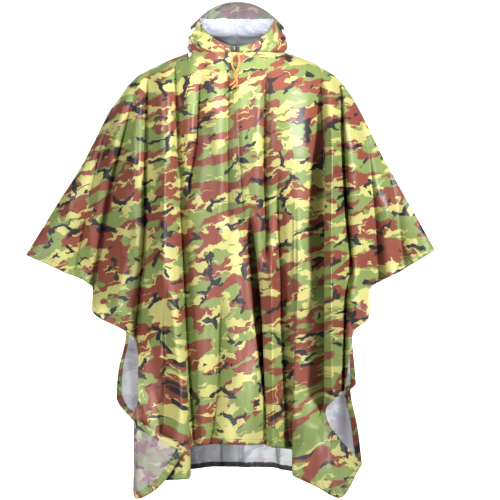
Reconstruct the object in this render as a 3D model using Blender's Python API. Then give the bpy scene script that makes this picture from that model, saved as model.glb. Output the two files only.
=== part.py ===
"""Rain poncho with a hood, worn: hollow cloth walls hanging from the shoulders, with the hood standing slack.

The origin is where the wearer's shoulders carry it, at the base of the neck. +Z is up, -Y is the front
and +X is the wearer's left. Each panel is a grid that is hung between its four edges, then folded.
"""
import math
from collections import namedtuple

import bmesh
import bpy
from mathutils import Vector

# ---- driving sizes, in metres ----
CLOTH = 0.002            # thickness of every cloth wall
SEAM_GAP = 0.0003        # two pieces stop this far apart at a seam
SHOULDER_ROLL = 0.10     # share of a panel's length that rounds over the shoulder and arm
NECK_CENTRE_X = 0.003    # the neck sits a little to one side, as the cloth hangs
NECK_HALF_WIDTH = 0.125
LAP = 0.016              # how far the right front reaches under the left one
BODY_ROUND = 0.75        # share of a panel's width, from its side, that rounds back to the side edge
PLEAT_TUCK = 0.030       # how far each knife pleat reaches under the tail that it lets down
PLEAT_LAYERS = 0.014     # its three layers stand this deep together
PLEAT_COLUMNS = 8
FLAP_RIDGE_X = -0.243    # the left front's corner rolls forward about this upright line
FLAP_TOP_Z = -0.80
FLAP_ROLL = 0.017        # radius of that roll
FLAP_LEAN = 0.35         # how fast the turned corner stands away from the panel
PEAK_HALF_WIDTH = 0.122
PEAK_HEIGHT = 0.068      # from the peak's tips up to its middle
PEAK_POINT = 1.3         # over 1, its outline is a little pointed
PEAK_SEAM_Y = -0.0095
BINDING_WIDTH = 0.009
CORD_DIAMETER = 0.004

Edge = namedtuple("Edge", "name at x y z")
Fold = namedtuple("Fold", "name top_z top_x mid_z mid_x low_z low_x top_depth low_depth width")
Turn = namedtuple("Turn", "name at out forward")
Hoop = namedtuple("Hoop", "name half_width front_y side_y back_y front_z side_z back_z")

# ---- panel edges: "at" is the share of the way along the edge ----
LEFT_SHOULDER = [
    Edge("arm corner", 0.00, -0.546, 0.0, -0.507),
    Edge("forearm", 0.33, -0.403, 0.0, -0.273),
    Edge("shoulder", 0.66, -0.262, 0.0, -0.043),
    Edge("shoulder tip", 0.70, -0.236, 0.0, -0.030),
    Edge("yoke", 0.76, -0.192, 0.0, -0.008),
    Edge("neck side", 0.84, -0.122, 0.0, 0.0195),
]
RIGHT_SHOULDER = [
    Edge("arm corner", 0.00, 0.517, 0.0, -0.494),
    Edge("forearm", 0.33, 0.390, 0.0, -0.268),
    Edge("shoulder", 0.66, 0.259, 0.0, -0.043),
    Edge("shoulder tip", 0.70, 0.234, 0.0, -0.027),
    Edge("yoke", 0.76, 0.193, 0.0, -0.004),
    Edge("neck side", 0.84, 0.128, 0.0, 0.0195),
]
FRONT_LEFT_SIDE = [
    Edge("arm corner", 0.00, -0.546, -0.024, -0.507),
    Edge("cuff", 0.14, -0.453, -0.040, -0.548),
    Edge("cuff fold", 0.27, -0.363, -0.055, -0.600),
    Edge("cuff step", 0.33, -0.371, -0.064, -0.646),
    Edge("under arm", 0.46, -0.282, -0.085, -0.704),
    Edge("waist", 0.53, -0.251, -0.095, -0.732),
    Edge("thigh", 0.74, -0.250, -0.115, -0.877),
    Edge("corner", 1.00, -0.414, -0.125, -0.995),
]
FRONT_LEFT_HEM = [
    Edge("corner", 0.00, -0.414, -0.125, -0.995),
    Edge("corner low", 0.20, -0.338, -0.125, -1.100),
    Edge("tip", 0.28, -0.290, -0.125, -1.124),
    Edge("roll", 0.34, -0.262, -0.125, -1.097),
    Edge("tail", 0.70, -0.165, -0.130, -1.077),
    Edge("pleat", 1.00, -0.117, -0.135, -1.074),
]
FRONT_LEFT_MIDDLE_HEM = [
    Edge("pleat", 0.00, -0.117, -0.135, -0.997),
    Edge("front hem", 0.50, -0.030, -0.155, -0.989),
    Edge("centre", 1.00, 0.052, -0.160, -0.991),
]
FRONT_LEFT_PLEAT_OUTER = [
    Edge("shoulder", 0.00, -0.166, -0.001, 0.002),
    Edge("waist", 0.50, -0.146, -0.140, -0.535),
    Edge("thigh", 0.80, -0.126, -0.140, -0.850),
    Edge("hem", 1.00, -0.117, -0.140, -1.074),
]
FRONT_LEFT_PLEAT_INNER = [
    Edge("shoulder", 0.00, -0.148, -0.001, 0.009),
    Edge("waist", 0.50, -0.130, -0.140, -0.495),
    Edge("thigh", 0.80, -0.119, -0.140, -0.795),
    Edge("hem", 1.00, -0.117, -0.140, -0.997),
]
FRONT_LEFT_CENTRE = [
    Edge("throat", 0.00, 0.006, -0.1005, 0.0130),
    Edge("collarbone", 0.10, 0.005, -0.140, -0.087),
    Edge("chest", 0.25, 0.009, -0.163, -0.240),
    Edge("waist", 0.50, 0.024, -0.158, -0.494),
    Edge("hip", 0.76, 0.041, -0.160, -0.748),
    Edge("hem", 1.00, 0.052, -0.160, -0.991),
]
FRONT_RIGHT_SIDE = [
    Edge("arm corner", 0.00, 0.517, -0.024, -0.494),
    Edge("cuff", 0.14, 0.430, -0.040, -0.548),
    Edge("cuff fold", 0.27, 0.343, -0.055, -0.602),
    Edge("cuff step", 0.35, 0.343, -0.064, -0.664),
    Edge("under arm", 0.43, 0.303, -0.080, -0.705),
    Edge("waist", 0.48, 0.295, -0.090, -0.738),
    Edge("hip", 0.63, 0.278, -0.115, -0.846),
    Edge("pleat", 0.76, 0.229, -0.108, -0.907),
    Edge("corner", 1.00, 0.322, -0.115, -1.043),
]
FRONT_RIGHT_HEM = [
    Edge("corner", 0.00, 0.322, -0.115, -1.043),
    Edge("tip", 0.40, 0.264, -0.120, -1.127),
    Edge("tail", 0.70, 0.205, -0.130, -1.098),
    Edge("pleat", 1.00, 0.147, -0.140, -1.071),
]
FRONT_RIGHT_MIDDLE_HEM = [
    Edge("pleat", 0.00, 0.147, -0.140, -1.008),
    Edge("front hem", 0.70, 0.070, -0.150, -0.994),
    Edge("centre", 1.00, 0.034, -0.105, -0.992),
]
FRONT_RIGHT_PLEAT_OUTER = [
    Edge("shoulder", 0.00, 0.154, -0.001, 0.012),
    Edge("waist", 0.50, 0.158, -0.140, -0.530),
    Edge("thigh", 0.80, 0.151, -0.140, -0.840),
    Edge("hem", 1.00, 0.147, -0.140, -1.071),
]
FRONT_RIGHT_PLEAT_INNER = [
    Edge("shoulder", 0.00, 0.138, -0.001, 0.016),
    Edge("waist", 0.50, 0.140, -0.140, -0.500),
    Edge("thigh", 0.80, 0.144, -0.140, -0.803),
    Edge("hem", 1.00, 0.147, -0.140, -1.008),
]
# A knife pleat seen on end: out goes under the tail and back, forward comes through to its face.
KNIFE_PLEAT = [
    Turn("under", 0.00, 0.00, 0.00),
    Turn("leg out", 0.26, 0.80, 0.04),
    Turn("turn", 0.38, 1.00, 0.25),
    Turn("leg back", 0.50, 0.80, 0.46),
    Turn("near the edge", 0.74, 0.10, 0.54),
    Turn("edge", 0.86, -0.06, 0.75),
    Turn("face", 1.00, 0.06, 1.00),
]
FRONT_RIGHT_CENTRE = [
    Edge("throat", 0.00, 0.006 - LAP, -0.0955, 0.0130),
    Edge("collarbone", 0.10, 0.005 - LAP, -0.134, -0.087),
    Edge("chest", 0.25, 0.009 - LAP, -0.155, -0.240),
    Edge("waist", 0.50, 0.024 - LAP, -0.140, -0.494),
    Edge("hip", 0.76, 0.041 - LAP, -0.112, -0.748),
    Edge("hem", 1.00, 0.050 - LAP, -0.105, -0.992),
]
BACK_LEFT_SIDE = [
    Edge("arm corner", 0.00, -0.546, 0.024, -0.507),
    Edge("cuff", 0.14, -0.465, 0.040, -0.539),
    Edge("cuff fold", 0.28, -0.378, 0.055, -0.588),
    Edge("under arm", 0.48, -0.290, 0.085, -0.713),
    Edge("hip", 0.64, -0.312, 0.100, -0.816),
    Edge("thigh", 0.73, -0.317, 0.105, -0.879),
    Edge("turn in", 0.87, -0.262, 0.105, -0.961),
    Edge("corner", 1.00, -0.223, 0.110, -1.055),
]
BACK_RIGHT_SIDE = [
    Edge("arm corner", 0.00, 0.517, 0.024, -0.494),
    Edge("cuff", 0.15, 0.428, 0.040, -0.541),
    Edge("cuff fold", 0.30, 0.346, 0.055, -0.594),
    Edge("under arm", 0.47, 0.305, 0.085, -0.710),
    Edge("hip", 0.67, 0.316, 0.100, -0.848),
    Edge("notch", 0.71, 0.302, 0.102, -0.864),
    Edge("thigh", 0.87, 0.322, 0.105, -0.970),
    Edge("corner", 1.00, 0.333, 0.110, -1.062),
]
BACK_LEFT_HEM = [
    Edge("corner", 0.00, -0.223, 0.110, -1.055),
    Edge("side", 0.45, -0.120, 0.125, -1.066),
    Edge("sag", 0.75, -0.057, 0.140, -1.059),
    Edge("centre", 1.00, 0.010, 0.140, -1.060),
]
BACK_RIGHT_HEM = [
    Edge("corner", 0.00, 0.333, 0.110, -1.062),
    Edge("tail", 0.26, 0.248, 0.120, -1.092),
    Edge("side", 0.55, 0.150, 0.130, -1.071),
    Edge("sag", 0.75, 0.090, 0.140, -1.061),
    Edge("centre", 1.00, 0.010, 0.140, -1.060),
]
BACK_CENTRE = [
    Edge("nape", 0.00, NECK_CENTRE_X, 0.0885, 0.0157),
    Edge("shoulder blades", 0.10, 0.004, 0.122, -0.090),
    Edge("upper back", 0.25, 0.005, 0.145, -0.250),
    Edge("waist", 0.50, 0.006, 0.136, -0.520),
    Edge("seat", 0.75, 0.008, 0.140, -0.800),
    Edge("hem", 1.00, 0.010, 0.140, -1.060),
]

# ---- folds: a positive depth is a valley, a negative one a ridge ----
FRONT_FOLDS = [
    Fold("long left", -0.010, -0.157, -0.494, -0.137, -1.080, -0.105, 0.012, 0.016, 0.024),
    Fold("left sleeve", -0.050, -0.226, -0.400, -0.222, -0.720, -0.246, 0.012, 0.024, 0.025),
    Fold("left cuff", -0.110, -0.262, -0.365, -0.319, -0.620, -0.366, 0.010, 0.024, 0.027),
    Fold("left arm", -0.150, -0.318, -0.360, -0.375, -0.560, -0.420, 0.006, 0.012, 0.028),
    Fold("left chest", -0.060, -0.090, -0.200, -0.098, -0.330, -0.118, 0.007, 0.006, 0.015),
    Fold("beside placket", -0.040, -0.017, -0.200, -0.019, -0.420, -0.016, 0.006, 0.005, 0.013),
    Fold("left lower", -0.620, -0.036, -0.800, -0.042, -1.000, -0.062, 0.004, 0.014, 0.020),
    Fold("left tail", -0.640, -0.178, -0.850, -0.180, -1.060, -0.184, 0.003, 0.005, 0.020),
    Fold("left roll", -0.280, -0.180, -0.550, -0.182, -0.780, -0.188, -0.010, -0.008, 0.024),
    Fold("centre pleat", -0.420, 0.036, -0.700, 0.054, -1.010, 0.060, 0.004, 0.060, 0.016),
    Fold("right thin", -0.060, 0.075, -0.250, 0.074, -0.500, 0.078, 0.006, 0.006, 0.010),
    Fold("right lower", -0.330, 0.108, -0.600, 0.118, -1.010, 0.140, 0.005, 0.014, 0.018),
    Fold("centre roll", -0.500, 0.090, -0.750, 0.094, -1.000, 0.096, -0.004, -0.012, 0.016),
    Fold("long right", -0.060, 0.217, -0.500, 0.209, -0.900, 0.206, 0.014, 0.032, 0.026),
    Fold("right shoulder", -0.050, 0.266, -0.300, 0.272, -0.560, 0.292, 0.012, 0.018, 0.015),
    Fold("right hip", -0.560, 0.284, -0.680, 0.276, -0.860, 0.270, 0.010, 0.016, 0.012),
    Fold("right roll", -0.200, 0.244, -0.500, 0.242, -0.850, 0.244, -0.010, -0.014, 0.014),
    Fold("right cuff", -0.160, 0.330, -0.380, 0.352, -0.600, 0.372, 0.006, 0.014, 0.027),
    Fold("right arm", -0.220, 0.385, -0.380, 0.415, -0.540, 0.436, 0.004, 0.010, 0.026),
]
BACK_FOLDS = [
    Fold("left sleeve", -0.060, -0.232, -0.400, -0.245, -0.720, -0.262, 0.010, 0.022, 0.025),
    Fold("left cuff", -0.130, -0.290, -0.360, -0.338, -0.590, -0.385, 0.008, 0.018, 0.028),
    Fold("long left", -0.080, -0.150, -0.550, -0.158, -1.080, -0.170, 0.012, 0.038, 0.024),
    Fold("left blade", -0.120, -0.080, -0.450, -0.084, -0.800, -0.100, 0.005, 0.014, 0.018),
    Fold("left low", -0.640, -0.052, -0.850, -0.048, -1.080, -0.050, 0.004, 0.022, 0.018),
    Fold("middle", -0.300, 0.014, -0.650, 0.024, -1.080, 0.034, 0.004, 0.030, 0.022),
    Fold("right blade", -0.100, 0.084, -0.400, 0.092, -0.700, 0.096, 0.006, 0.012, 0.016),
    Fold("right low", -0.560, 0.118, -0.800, 0.122, -1.080, 0.126, 0.006, 0.026, 0.019),
    Fold("long right", -0.070, 0.180, -0.500, 0.192, -1.080, 0.214, 0.012, 0.040, 0.024),
    Fold("right sleeve", -0.060, 0.244, -0.400, 0.262, -0.800, 0.276, 0.010, 0.022, 0.018),
    Fold("right cuff", -0.150, 0.310, -0.360, 0.346, -0.590, 0.372, 0.008, 0.016, 0.028),
]

# ---- the panels' neckline, and the hood hoop by hoop from its seam to the rim of its opening ----
NECKLINE = Hoop("neckline", NECK_HALF_WIDTH, -0.1005, 0.000, 0.0885, 0.0122, 0.0185, 0.0157)
HOOD_HOOPS = [
    Hoop("seam", NECK_HALF_WIDTH, -0.1005, 0.000, 0.0885, 0.0148, 0.0211, 0.0183),
    Hoop("neck", 0.129, -0.1010, -0.001, 0.105, 0.0168, 0.0290, 0.0240),
    Hoop("pouch", 0.131, -0.1015, -0.002, 0.140, 0.0185, 0.0380, 0.0020),
    Hoop("pouch back", 0.131, -0.1015, -0.003, 0.164, 0.0200, 0.0470, 0.0100),
    Hoop("slack", 0.128, -0.1015, -0.006, 0.154, 0.0215, 0.0560, 0.0440),
    Hoop("crown", 0.123, -0.1014, -0.009, 0.098, 0.0228, 0.0660, 0.0660),
    Hoop("fold", 0.114, -0.1010, -0.013, 0.028, 0.0240, 0.0770, 0.0610),
    Hoop("band", 0.104, -0.1006, -0.017, -0.003, 0.0252, 0.0900, 0.0760),
    Hoop("rim", 0.0945, -0.1000, -0.020, -0.016, 0.0265, 0.1070, 0.1045),
]


def pchip(xs, ys, x):
    """A smooth curve through the points that never swings past them."""
    n = len(xs)
    step = [xs[i + 1] - xs[i] for i in range(n - 1)]
    rise = [(ys[i + 1] - ys[i]) / step[i] for i in range(n - 1)]
    slope = [rise[0]] + [0.0] * (n - 2) + [rise[-1]]
    for i in range(1, n - 1):
        if rise[i - 1] * rise[i] > 0:
            a, b = 2 * step[i] + step[i - 1], step[i] + 2 * step[i - 1]
            slope[i] = (a + b) / (a / rise[i - 1] + b / rise[i])
    x = min(max(x, xs[0]), xs[-1])
    i = max(k for k in range(n - 1) if xs[k] <= x)
    t = (x - xs[i]) / step[i]
    return (ys[i] * (1 + 2 * t) * (1 - t) ** 2 + slope[i] * step[i] * t * (1 - t) ** 2
            + ys[i + 1] * t * t * (3 - 2 * t) + slope[i + 1] * step[i] * t * t * (t - 1))


def along(edge, at):
    """The point that lies a given share of the way along an edge."""
    places = [row.at for row in edge]
    return Vector([pchip(places, [getattr(row, axis) for row in edge], at) for axis in "xyz"])


def smooth(low, high, value):
    t = min(max((value - low) / (high - low), 0.0), 1.0)
    return t * t * (3 - 2 * t)


def hoop_point(hoop, turn):
    """A point on a hoop; turn runs from 0 at the throat to pi at the back of the neck, on the +X side."""
    hoop_x = NECK_CENTRE_X + hoop.half_width * math.sin(abs(turn)) * (1 if turn > 0 else -1)
    cosine = math.cos(turn)
    if cosine > 0:
        y = hoop.side_y + (hoop.front_y - hoop.side_y) * cosine
        z = hoop.front_z + (hoop.side_z - hoop.front_z) * (1 - cosine) ** 0.8
    else:
        y = hoop.side_y - (hoop.back_y - hoop.side_y) * cosine
        z = hoop.side_z - (hoop.back_z - hoop.side_z) * cosine
    return Vector((hoop_x, y, z))


def neckline(side, front, share, lap):
    """A panel's neck edge, from the shoulder seam (0) to its centre edge (1)."""
    quarter = math.pi / 2
    turn = quarter * (1 - share) - lap / NECK_HALF_WIDTH * share if front else quarter * (1 + share)
    return hoop_point(NECKLINE, side * turn)


def lerp_patch(top, hem, outer, inner, corners, across, down):
    """A point of the sheet that four edges span, each given at this share across or down."""
    flat = ((corners[0] * (1 - across) + corners[1] * across) * (1 - down)
            + (corners[2] * (1 - across) + corners[3] * across) * down)
    return top * (1 - down) + hem * down + outer * (1 - across) + inner * across - flat


class Panel:
    """A sheet hung from the shoulder line and the neck, down to its side edge and hem.

    across runs from the side edge (0) to the centre (1), down from the shoulder (0) to the hem (1).
    A pleated panel is two gores, outside and inside the pleat, with the pleat's layers between them.
    """

    def __init__(self, side, front, shoulder, edge, hem, centre, folds, lap=0.0, under=0.0, pleat=None):
        self.side, self.front, self.folds = side, front, folds
        self.shoulder, self.edge, self.hem, self.centre = shoulder, edge, hem, centre
        self.lap, self.under, self.pleat = lap, under, pleat
        self.inward = 1 if front else -1

    def top(self, across):
        neck_start = self.shoulder[-1].at
        if across <= neck_start:
            point = along(self.shoulder, across)
            point.y -= self.inward * (CLOTH / 2 + SEAM_GAP)
            return point
        share = (across - neck_start) / (1 - neck_start)
        point = neckline(self.side, self.front, share, self.lap)
        point.y += self.under * smooth(0.5, 1.0, share)
        return point

    def line(self, edge, across, down):
        """An upright line of the panel, moved so that it starts on the top edge."""
        return along(edge, down) + (self.top(across) - along(edge, 0)) * (1 - down)

    def gore(self, across, down, start, end, outer, inner, hem):
        share = (across - start) / (end - start)
        corners = (self.top(start), self.top(end), along(hem, 0), along(hem, 1))
        return lerp_patch(self.top(across), along(hem, share), self.line(outer, start, down),
                          self.line(inner, end, down), corners, share, down)

    def flat(self, across, down):
        """The sheet seen from the front, its pleat laid in, and how far the pleat brings it forward."""
        if not self.pleat:
            return self.gore(across, down, 0, 1, self.edge, self.centre, self.hem), 0.0
        start, end = self.pleat["start"], self.pleat["end"]
        outer, inner = self.pleat["outer"], self.pleat["inner"]
        layers = PLEAT_LAYERS * smooth(0.30, 0.62, down)
        if across <= start:
            point = self.gore(across, down, 0, start, self.edge, outer, self.hem)
            return point, layers * smooth(0.1, 0.8, across / start)
        if across >= end:
            return self.gore(across, down, end, 1, inner, self.centre, self.pleat["hem"]), 0.0
        share = (end - across) / (end - start)
        rows = [turn.at for turn in KNIFE_PLEAT]
        out = pchip(rows, [turn.out for turn in KNIFE_PLEAT], share) - 0.06 * share
        forward = pchip(rows, [turn.forward for turn in KNIFE_PLEAT], share)
        point = self.line(inner, end, down).lerp(self.line(outer, start, down), share)
        point.x += self.side * PLEAT_TUCK * smooth(0.55, 0.95, down) * out
        return point, layers * forward

    def hang(self, across, down):
        """The sheet before its folds, rounded over the shoulder and arm."""
        point, forward = self.flat(across, down)
        top, edge, centre = self.top(across), along(self.edge, down), self.line(self.centre, 1, down)
        body = math.sin(math.pi / 2 * min(across / BODY_ROUND, 1.0)) ** 1.3
        deep = edge.y * (1 - body) + centre.y * body
        reach = min(down / SHOULDER_ROLL, 1.0)
        roll = math.sqrt(1 - (1 - reach) ** 2)
        point.y = top.y * (1 - roll) + deep * roll - self.inward * forward
        return point, roll

    def fold(self, point, roll):
        """Valleys go towards the body and ridges away from it; both fade out at their ends."""
        depth = 0.0
        for fold in self.folds:
            low, high = fold.low_z - 0.05, fold.top_z + 0.05
            if not low < point.z < high:
                continue
            heights = [fold.low_z, fold.mid_z, fold.top_z]
            line = pchip(heights, [fold.low_x, fold.mid_x, fold.top_x], point.z)
            share = min(max((fold.top_z - point.z) / (fold.top_z - fold.low_z), 0.0), 1.0)
            size = fold.top_depth + (fold.low_depth - fold.top_depth) * share ** 0.8
            ends = smooth(high, fold.top_z - 0.02, point.z) * smooth(low, fold.low_z + 0.02, point.z)
            width = fold.width * (1.0 + 0.25 * share)
            depth += size * ends * math.exp(-((point.x - line) / width) ** 2)
        return depth * smooth(0.0, 0.8, roll)

    def turn_corner(self, point):
        """The left front's lowest corner is rolled forward, so it lies on the panel inside out."""
        spare = FLAP_RIDGE_X - point.x
        if not (self.front and self.side < 0 and spare > 0 and point.z < FLAP_TOP_Z):
            return point
        angle = min(spare / FLAP_ROLL, math.pi)
        past = max(spare - math.pi * FLAP_ROLL, 0.0)
        return Vector((FLAP_RIDGE_X - FLAP_ROLL * math.sin(angle) + past,
                       point.y - FLAP_ROLL * (1 - math.cos(angle)) - FLAP_LEAN * past, point.z))

    def point(self, across, down):
        point, roll = self.hang(across, down)
        point.y += self.inward * self.fold(point, roll)
        return self.turn_corner(point)


FRONT_LEFT = Panel(-1, True, LEFT_SHOULDER, FRONT_LEFT_SIDE, FRONT_LEFT_HEM, FRONT_LEFT_CENTRE, FRONT_FOLDS,
                   lap=0.003, pleat=dict(start=0.79, end=0.81, outer=FRONT_LEFT_PLEAT_OUTER,
                                         inner=FRONT_LEFT_PLEAT_INNER, hem=FRONT_LEFT_MIDDLE_HEM))
FRONT_RIGHT = Panel(1, True, RIGHT_SHOULDER, FRONT_RIGHT_SIDE, FRONT_RIGHT_HEM, FRONT_RIGHT_CENTRE, FRONT_FOLDS,
                    lap=0.013, under=0.005,
                    pleat=dict(start=0.808, end=0.828, outer=FRONT_RIGHT_PLEAT_OUTER,
                               inner=FRONT_RIGHT_PLEAT_INNER, hem=FRONT_RIGHT_MIDDLE_HEM))
BACK_LEFT = Panel(-1, False, LEFT_SHOULDER, BACK_LEFT_SIDE, BACK_LEFT_HEM, BACK_CENTRE, BACK_FOLDS)
BACK_RIGHT = Panel(1, False, RIGHT_SHOULDER, BACK_RIGHT_SIDE, BACK_RIGHT_HEM, BACK_CENTRE, BACK_FOLDS)


def back_point(across, down):
    """The back is one sheet: across runs from the left arm corner (0) to the right one (1)."""
    if across <= 0.5:
        return BACK_LEFT.point(2 * across, down)
    return BACK_RIGHT.point(2 - 2 * across, down)


def hood_point(side, turn, rise):
    """The hood's wall: turn goes round from the throat to the back, rise from the neck seam to the rim."""
    rows = [index / (len(HOOD_HOOPS) - 1) for index in range(len(HOOD_HOOPS))]
    points = [hoop_point(hoop, side * max(turn, 1e-4)) for hoop in HOOD_HOOPS]
    return Vector([pchip(rows, [point[axis] for point in points], rise) for axis in range(3)])


def material(name, colour, roughness):
    made = bpy.data.materials.new(name)
    made.use_nodes = True
    shader = made.node_tree.nodes["Principled BSDF"]
    shader.inputs["Base Color"].default_value = (*colour, 1.0)
    shader.inputs["Roughness"].default_value = roughness
    return made


def wall(name, columns, rows, place, finish, flip, thickness=CLOTH):
    """A closed cloth wall on a grid; place gives the point for a share across and a share down."""
    shape = bmesh.new()
    bmesh.ops.create_grid(shape, x_segments=columns, y_segments=rows, size=1.0)
    for vert in shape.verts:
        vert.co = place((vert.co.x + 1) / 2, (1 - vert.co.y) / 2)
    if flip:
        bmesh.ops.reverse_faces(shape, faces=shape.faces[:])
    mesh = bpy.data.meshes.new(name)
    shape.to_mesh(mesh)
    shape.free()
    mesh.shade_smooth()
    mesh.materials.append(finish)
    thing = bpy.data.objects.new(name, mesh)
    bpy.context.collection.objects.link(thing)
    solid = thing.modifiers.new("Cloth", "SOLIDIFY")
    solid.thickness = thickness
    solid.offset = 0.0
    return thing


def pleated(share, columns, panel, outer_columns):
    """Turns an even share of a pleated panel's columns into a place across it, with columns for the pleat."""
    column = share * columns
    start, end = panel.pleat["start"], panel.pleat["end"]
    inner_start = outer_columns + PLEAT_COLUMNS
    if column <= outer_columns:
        return start * column / outer_columns
    if column < inner_start:
        return start + (end - start) * (column - outer_columns) / PLEAT_COLUMNS
    return end + (1 - end) * (column - inner_start) / (columns - inner_start)


def tighter_at_top(down):
    """Rows stand closer together where the cloth rounds over the shoulder."""
    return down ** 1.6


def make_panels():
    camouflage = material("poncho_cloth", (0.30, 0.31, 0.16), 0.45)
    for name, panel, columns, outer_columns in (("front_left", FRONT_LEFT, 38, 19),
                                                ("front_right", FRONT_RIGHT, 37, 17)):
        def place(u, v, panel=panel, columns=columns, outer=outer_columns):
            return panel.point(pleated(u, columns, panel, outer), tighter_at_top(v))
        wall(name, columns, 24, place, camouflage, panel.side > 0)
    wall("back", 46, 22, lambda u, v: back_point(u, tighter_at_top(v)), camouflage, True)


def make_hood():
    camouflage = material("hood_cloth", (0.30, 0.31, 0.16), 0.45)
    for name, side in (("hood_left", -1), ("hood_right", 1)):
        seam = 2 * SEAM_GAP / NECK_HALF_WIDTH

        def place(u, v, side=side, seam=seam):
            return hood_point(side, seam + (math.pi - 2 * seam) * u, 1 - v)
        wall(name, 14, 16, place, camouflage, side > 0)


def peak_point(across, rise):
    """The crescent peak, turned up behind the rim: across goes from tip to tip, rise from seam to edge."""
    swing = math.pi * (across - 0.5)
    aside = abs(math.sin(swing)) ** PEAK_POINT * (1 if swing > 0 else -1)
    x = NECK_CENTRE_X + PEAK_HALF_WIDTH * aside
    seam = Vector((x, PEAK_SEAM_Y + 0.006 * abs(aside) ** 3, 0.098 - 0.022 * aside ** 4))
    edge = Vector((x, 0.010 - 0.014 * aside ** 2, 0.084 + PEAK_HEIGHT * math.cos(swing) ** PEAK_POINT))
    return seam.lerp(edge, rise) + Vector((0, -0.004 * math.sin(math.pi * rise), 0))


def make_peak():
    lining = material("peak_cloth", (0.25, 0.24, 0.20), 0.5)
    wall("hood_peak", 20, 4, lambda u, v: peak_point(0.03 + 0.94 * u, 1 - v), lining, False)


def make_binding():
    """A dark tape that lies along the back's hem, just outside the cloth."""
    tape = material("binding_tape", (0.02, 0.02, 0.025), 0.6)

    def place(u, v):
        across = 0.06 + 0.88 * u
        low, above = back_point(across, 1.0), back_point(across, 0.985)
        downward = (low - above).normalized()
        return low + downward * (CLOTH / 2 + SEAM_GAP + BINDING_WIDTH * (0.12 + v))
    wall("back_hem_binding", 46, 1, place, tape, True, thickness=0.0024)


def turned(name, profile, centre, finish, sides=20):
    """A round piece turned about an upright axis, from (radius, height) pairs."""
    shape = bmesh.new()
    points = [shape.verts.new((centre[0] + radius, centre[1], centre[2] + height)) for radius, height in profile]
    edges = [shape.edges.new(pair) for pair in zip(points, points[1:])]
    bmesh.ops.spin(shape, geom=points + edges, cent=centre, axis=(0, 0, 1), angle=2 * math.pi,
                   steps=sides, use_merge=True)
    bmesh.ops.remove_doubles(shape, verts=shape.verts[:], dist=1e-5)
    bmesh.ops.recalc_face_normals(shape, faces=shape.faces[:])
    mesh = bpy.data.meshes.new(name)
    shape.to_mesh(mesh)
    shape.free()
    mesh.shade_smooth()
    mesh.set_sharp_from_angle(angle=math.radians(35))
    mesh.materials.append(finish)
    thing = bpy.data.objects.new(name, mesh)
    bpy.context.collection.objects.link(thing)
    return thing


LOCK_CENTRE = Vector((0.0040, -0.1105, 0.0218))
LOCK_PROFILE = [(0.0, -0.0105), (0.0048, -0.0105), (0.006, -0.0093), (0.006, 0.0022), (0.0050, 0.0035), (0.0, 0.0035)]
BUTTON_PROFILE = [(0.0, 0.0038), (0.0043, 0.0038), (0.0043, 0.0090), (0.0033, 0.0102), (0.0, 0.0102)]

# The drawcord's two strands, from the lock down: they cross twice over the chest and end bare.
LEFT_STRAND = [
    (0.0012, -0.1105, 0.0096), (0.0006, -0.1105, 0.0066), (-0.0058, -0.1112, 0.0024), (-0.0100, -0.1120, -0.0068),
    (-0.0102, -0.1142, -0.0170), (-0.0074, -0.1176, -0.0265), (-0.0036, -0.1214, -0.0345), (0.0004, -0.1243, -0.0415),
    (0.0040, -0.1292, -0.0490), (0.0008, -0.1376, -0.0565), (-0.0024, -0.1366, -0.0640), (-0.0080, -0.1386, -0.0700),
    (-0.0152, -0.1408, -0.0752),
]
RIGHT_STRAND = [
    (0.0068, -0.1105, 0.0100), (0.0072, -0.1105, 0.0045), (0.0090, -0.1114, -0.0056), (0.0092, -0.1136, -0.0148),
    (0.0070, -0.1176, -0.0250), (0.0036, -0.1232, -0.0345), (0.0004, -0.1304, -0.0415), (-0.0028, -0.1296, -0.0490),
    (0.0008, -0.1316, -0.0565), (0.0040, -0.1356, -0.0640), (0.0024, -0.1384, -0.0710), (-0.0040, -0.1412, -0.0775),
    (-0.0105, -0.1434, -0.0840),
]


def smooth_route(route, spacing):
    """Points at an even spacing on one smooth curve through the route's own points."""
    ends = [route[0]] + list(route) + [route[-1]]
    fine = []
    for a, b, c, d in zip(ends, ends[1:], ends[2:], ends[3:]):
        a, b, c, d = Vector(a), Vector(b), Vector(c), Vector(d)
        for step in range(12):
            t = step / 12
            fine.append(0.5 * (2 * b + (c - a) * t + (2 * a - 5 * b + 4 * c - d) * t ** 2
                               + (3 * b - a - 3 * c + d) * t ** 3))
    fine.append(Vector(route[-1]))
    even, walked = [fine[0]], 0.0
    for before, after in zip(fine, fine[1:]):
        walked += (after - before).length
        if walked >= spacing:
            even.append(after)
            walked = 0.0
    even[-1] = fine[-1]
    return even


def make_cord(name, route, finish):
    curve = bpy.data.curves.new(name, "CURVE")
    curve.dimensions = "3D"
    curve.bevel_depth = CORD_DIAMETER / 2
    curve.bevel_resolution = 2
    curve.use_fill_caps = True
    points = smooth_route(route, 1.6 * CORD_DIAMETER)
    spline = curve.splines.new("POLY")
    spline.points.add(len(points) - 1)
    for slot, point in zip(spline.points, points):
        slot.co = (*point, 1.0)
    curve.materials.append(finish)
    thing = bpy.data.objects.new(name, curve)
    bpy.context.collection.objects.link(thing)
    return thing


def make_drawcord():
    black = material("cord_lock_plastic", (0.015, 0.015, 0.015), 0.35)
    turned("cord_lock", LOCK_PROFILE, LOCK_CENTRE, black)
    turned("cord_lock_button", BUTTON_PROFILE, LOCK_CENTRE, black)
    orange = material("drawcord_braid", (0.85, 0.33, 0.05), 0.6)
    make_cord("drawcord_left", LEFT_STRAND, orange)
    make_cord("drawcord_right", RIGHT_STRAND, orange)


def main():
    for thing in list(bpy.data.objects):
        bpy.data.objects.remove(thing, do_unlink=True)
    make_panels()
    make_hood()
    make_peak()
    make_binding()
    make_drawcord()


main()
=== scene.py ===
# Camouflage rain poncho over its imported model: camera, panels, hood, trim, finishes, drawcord, studio.
import math

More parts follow.
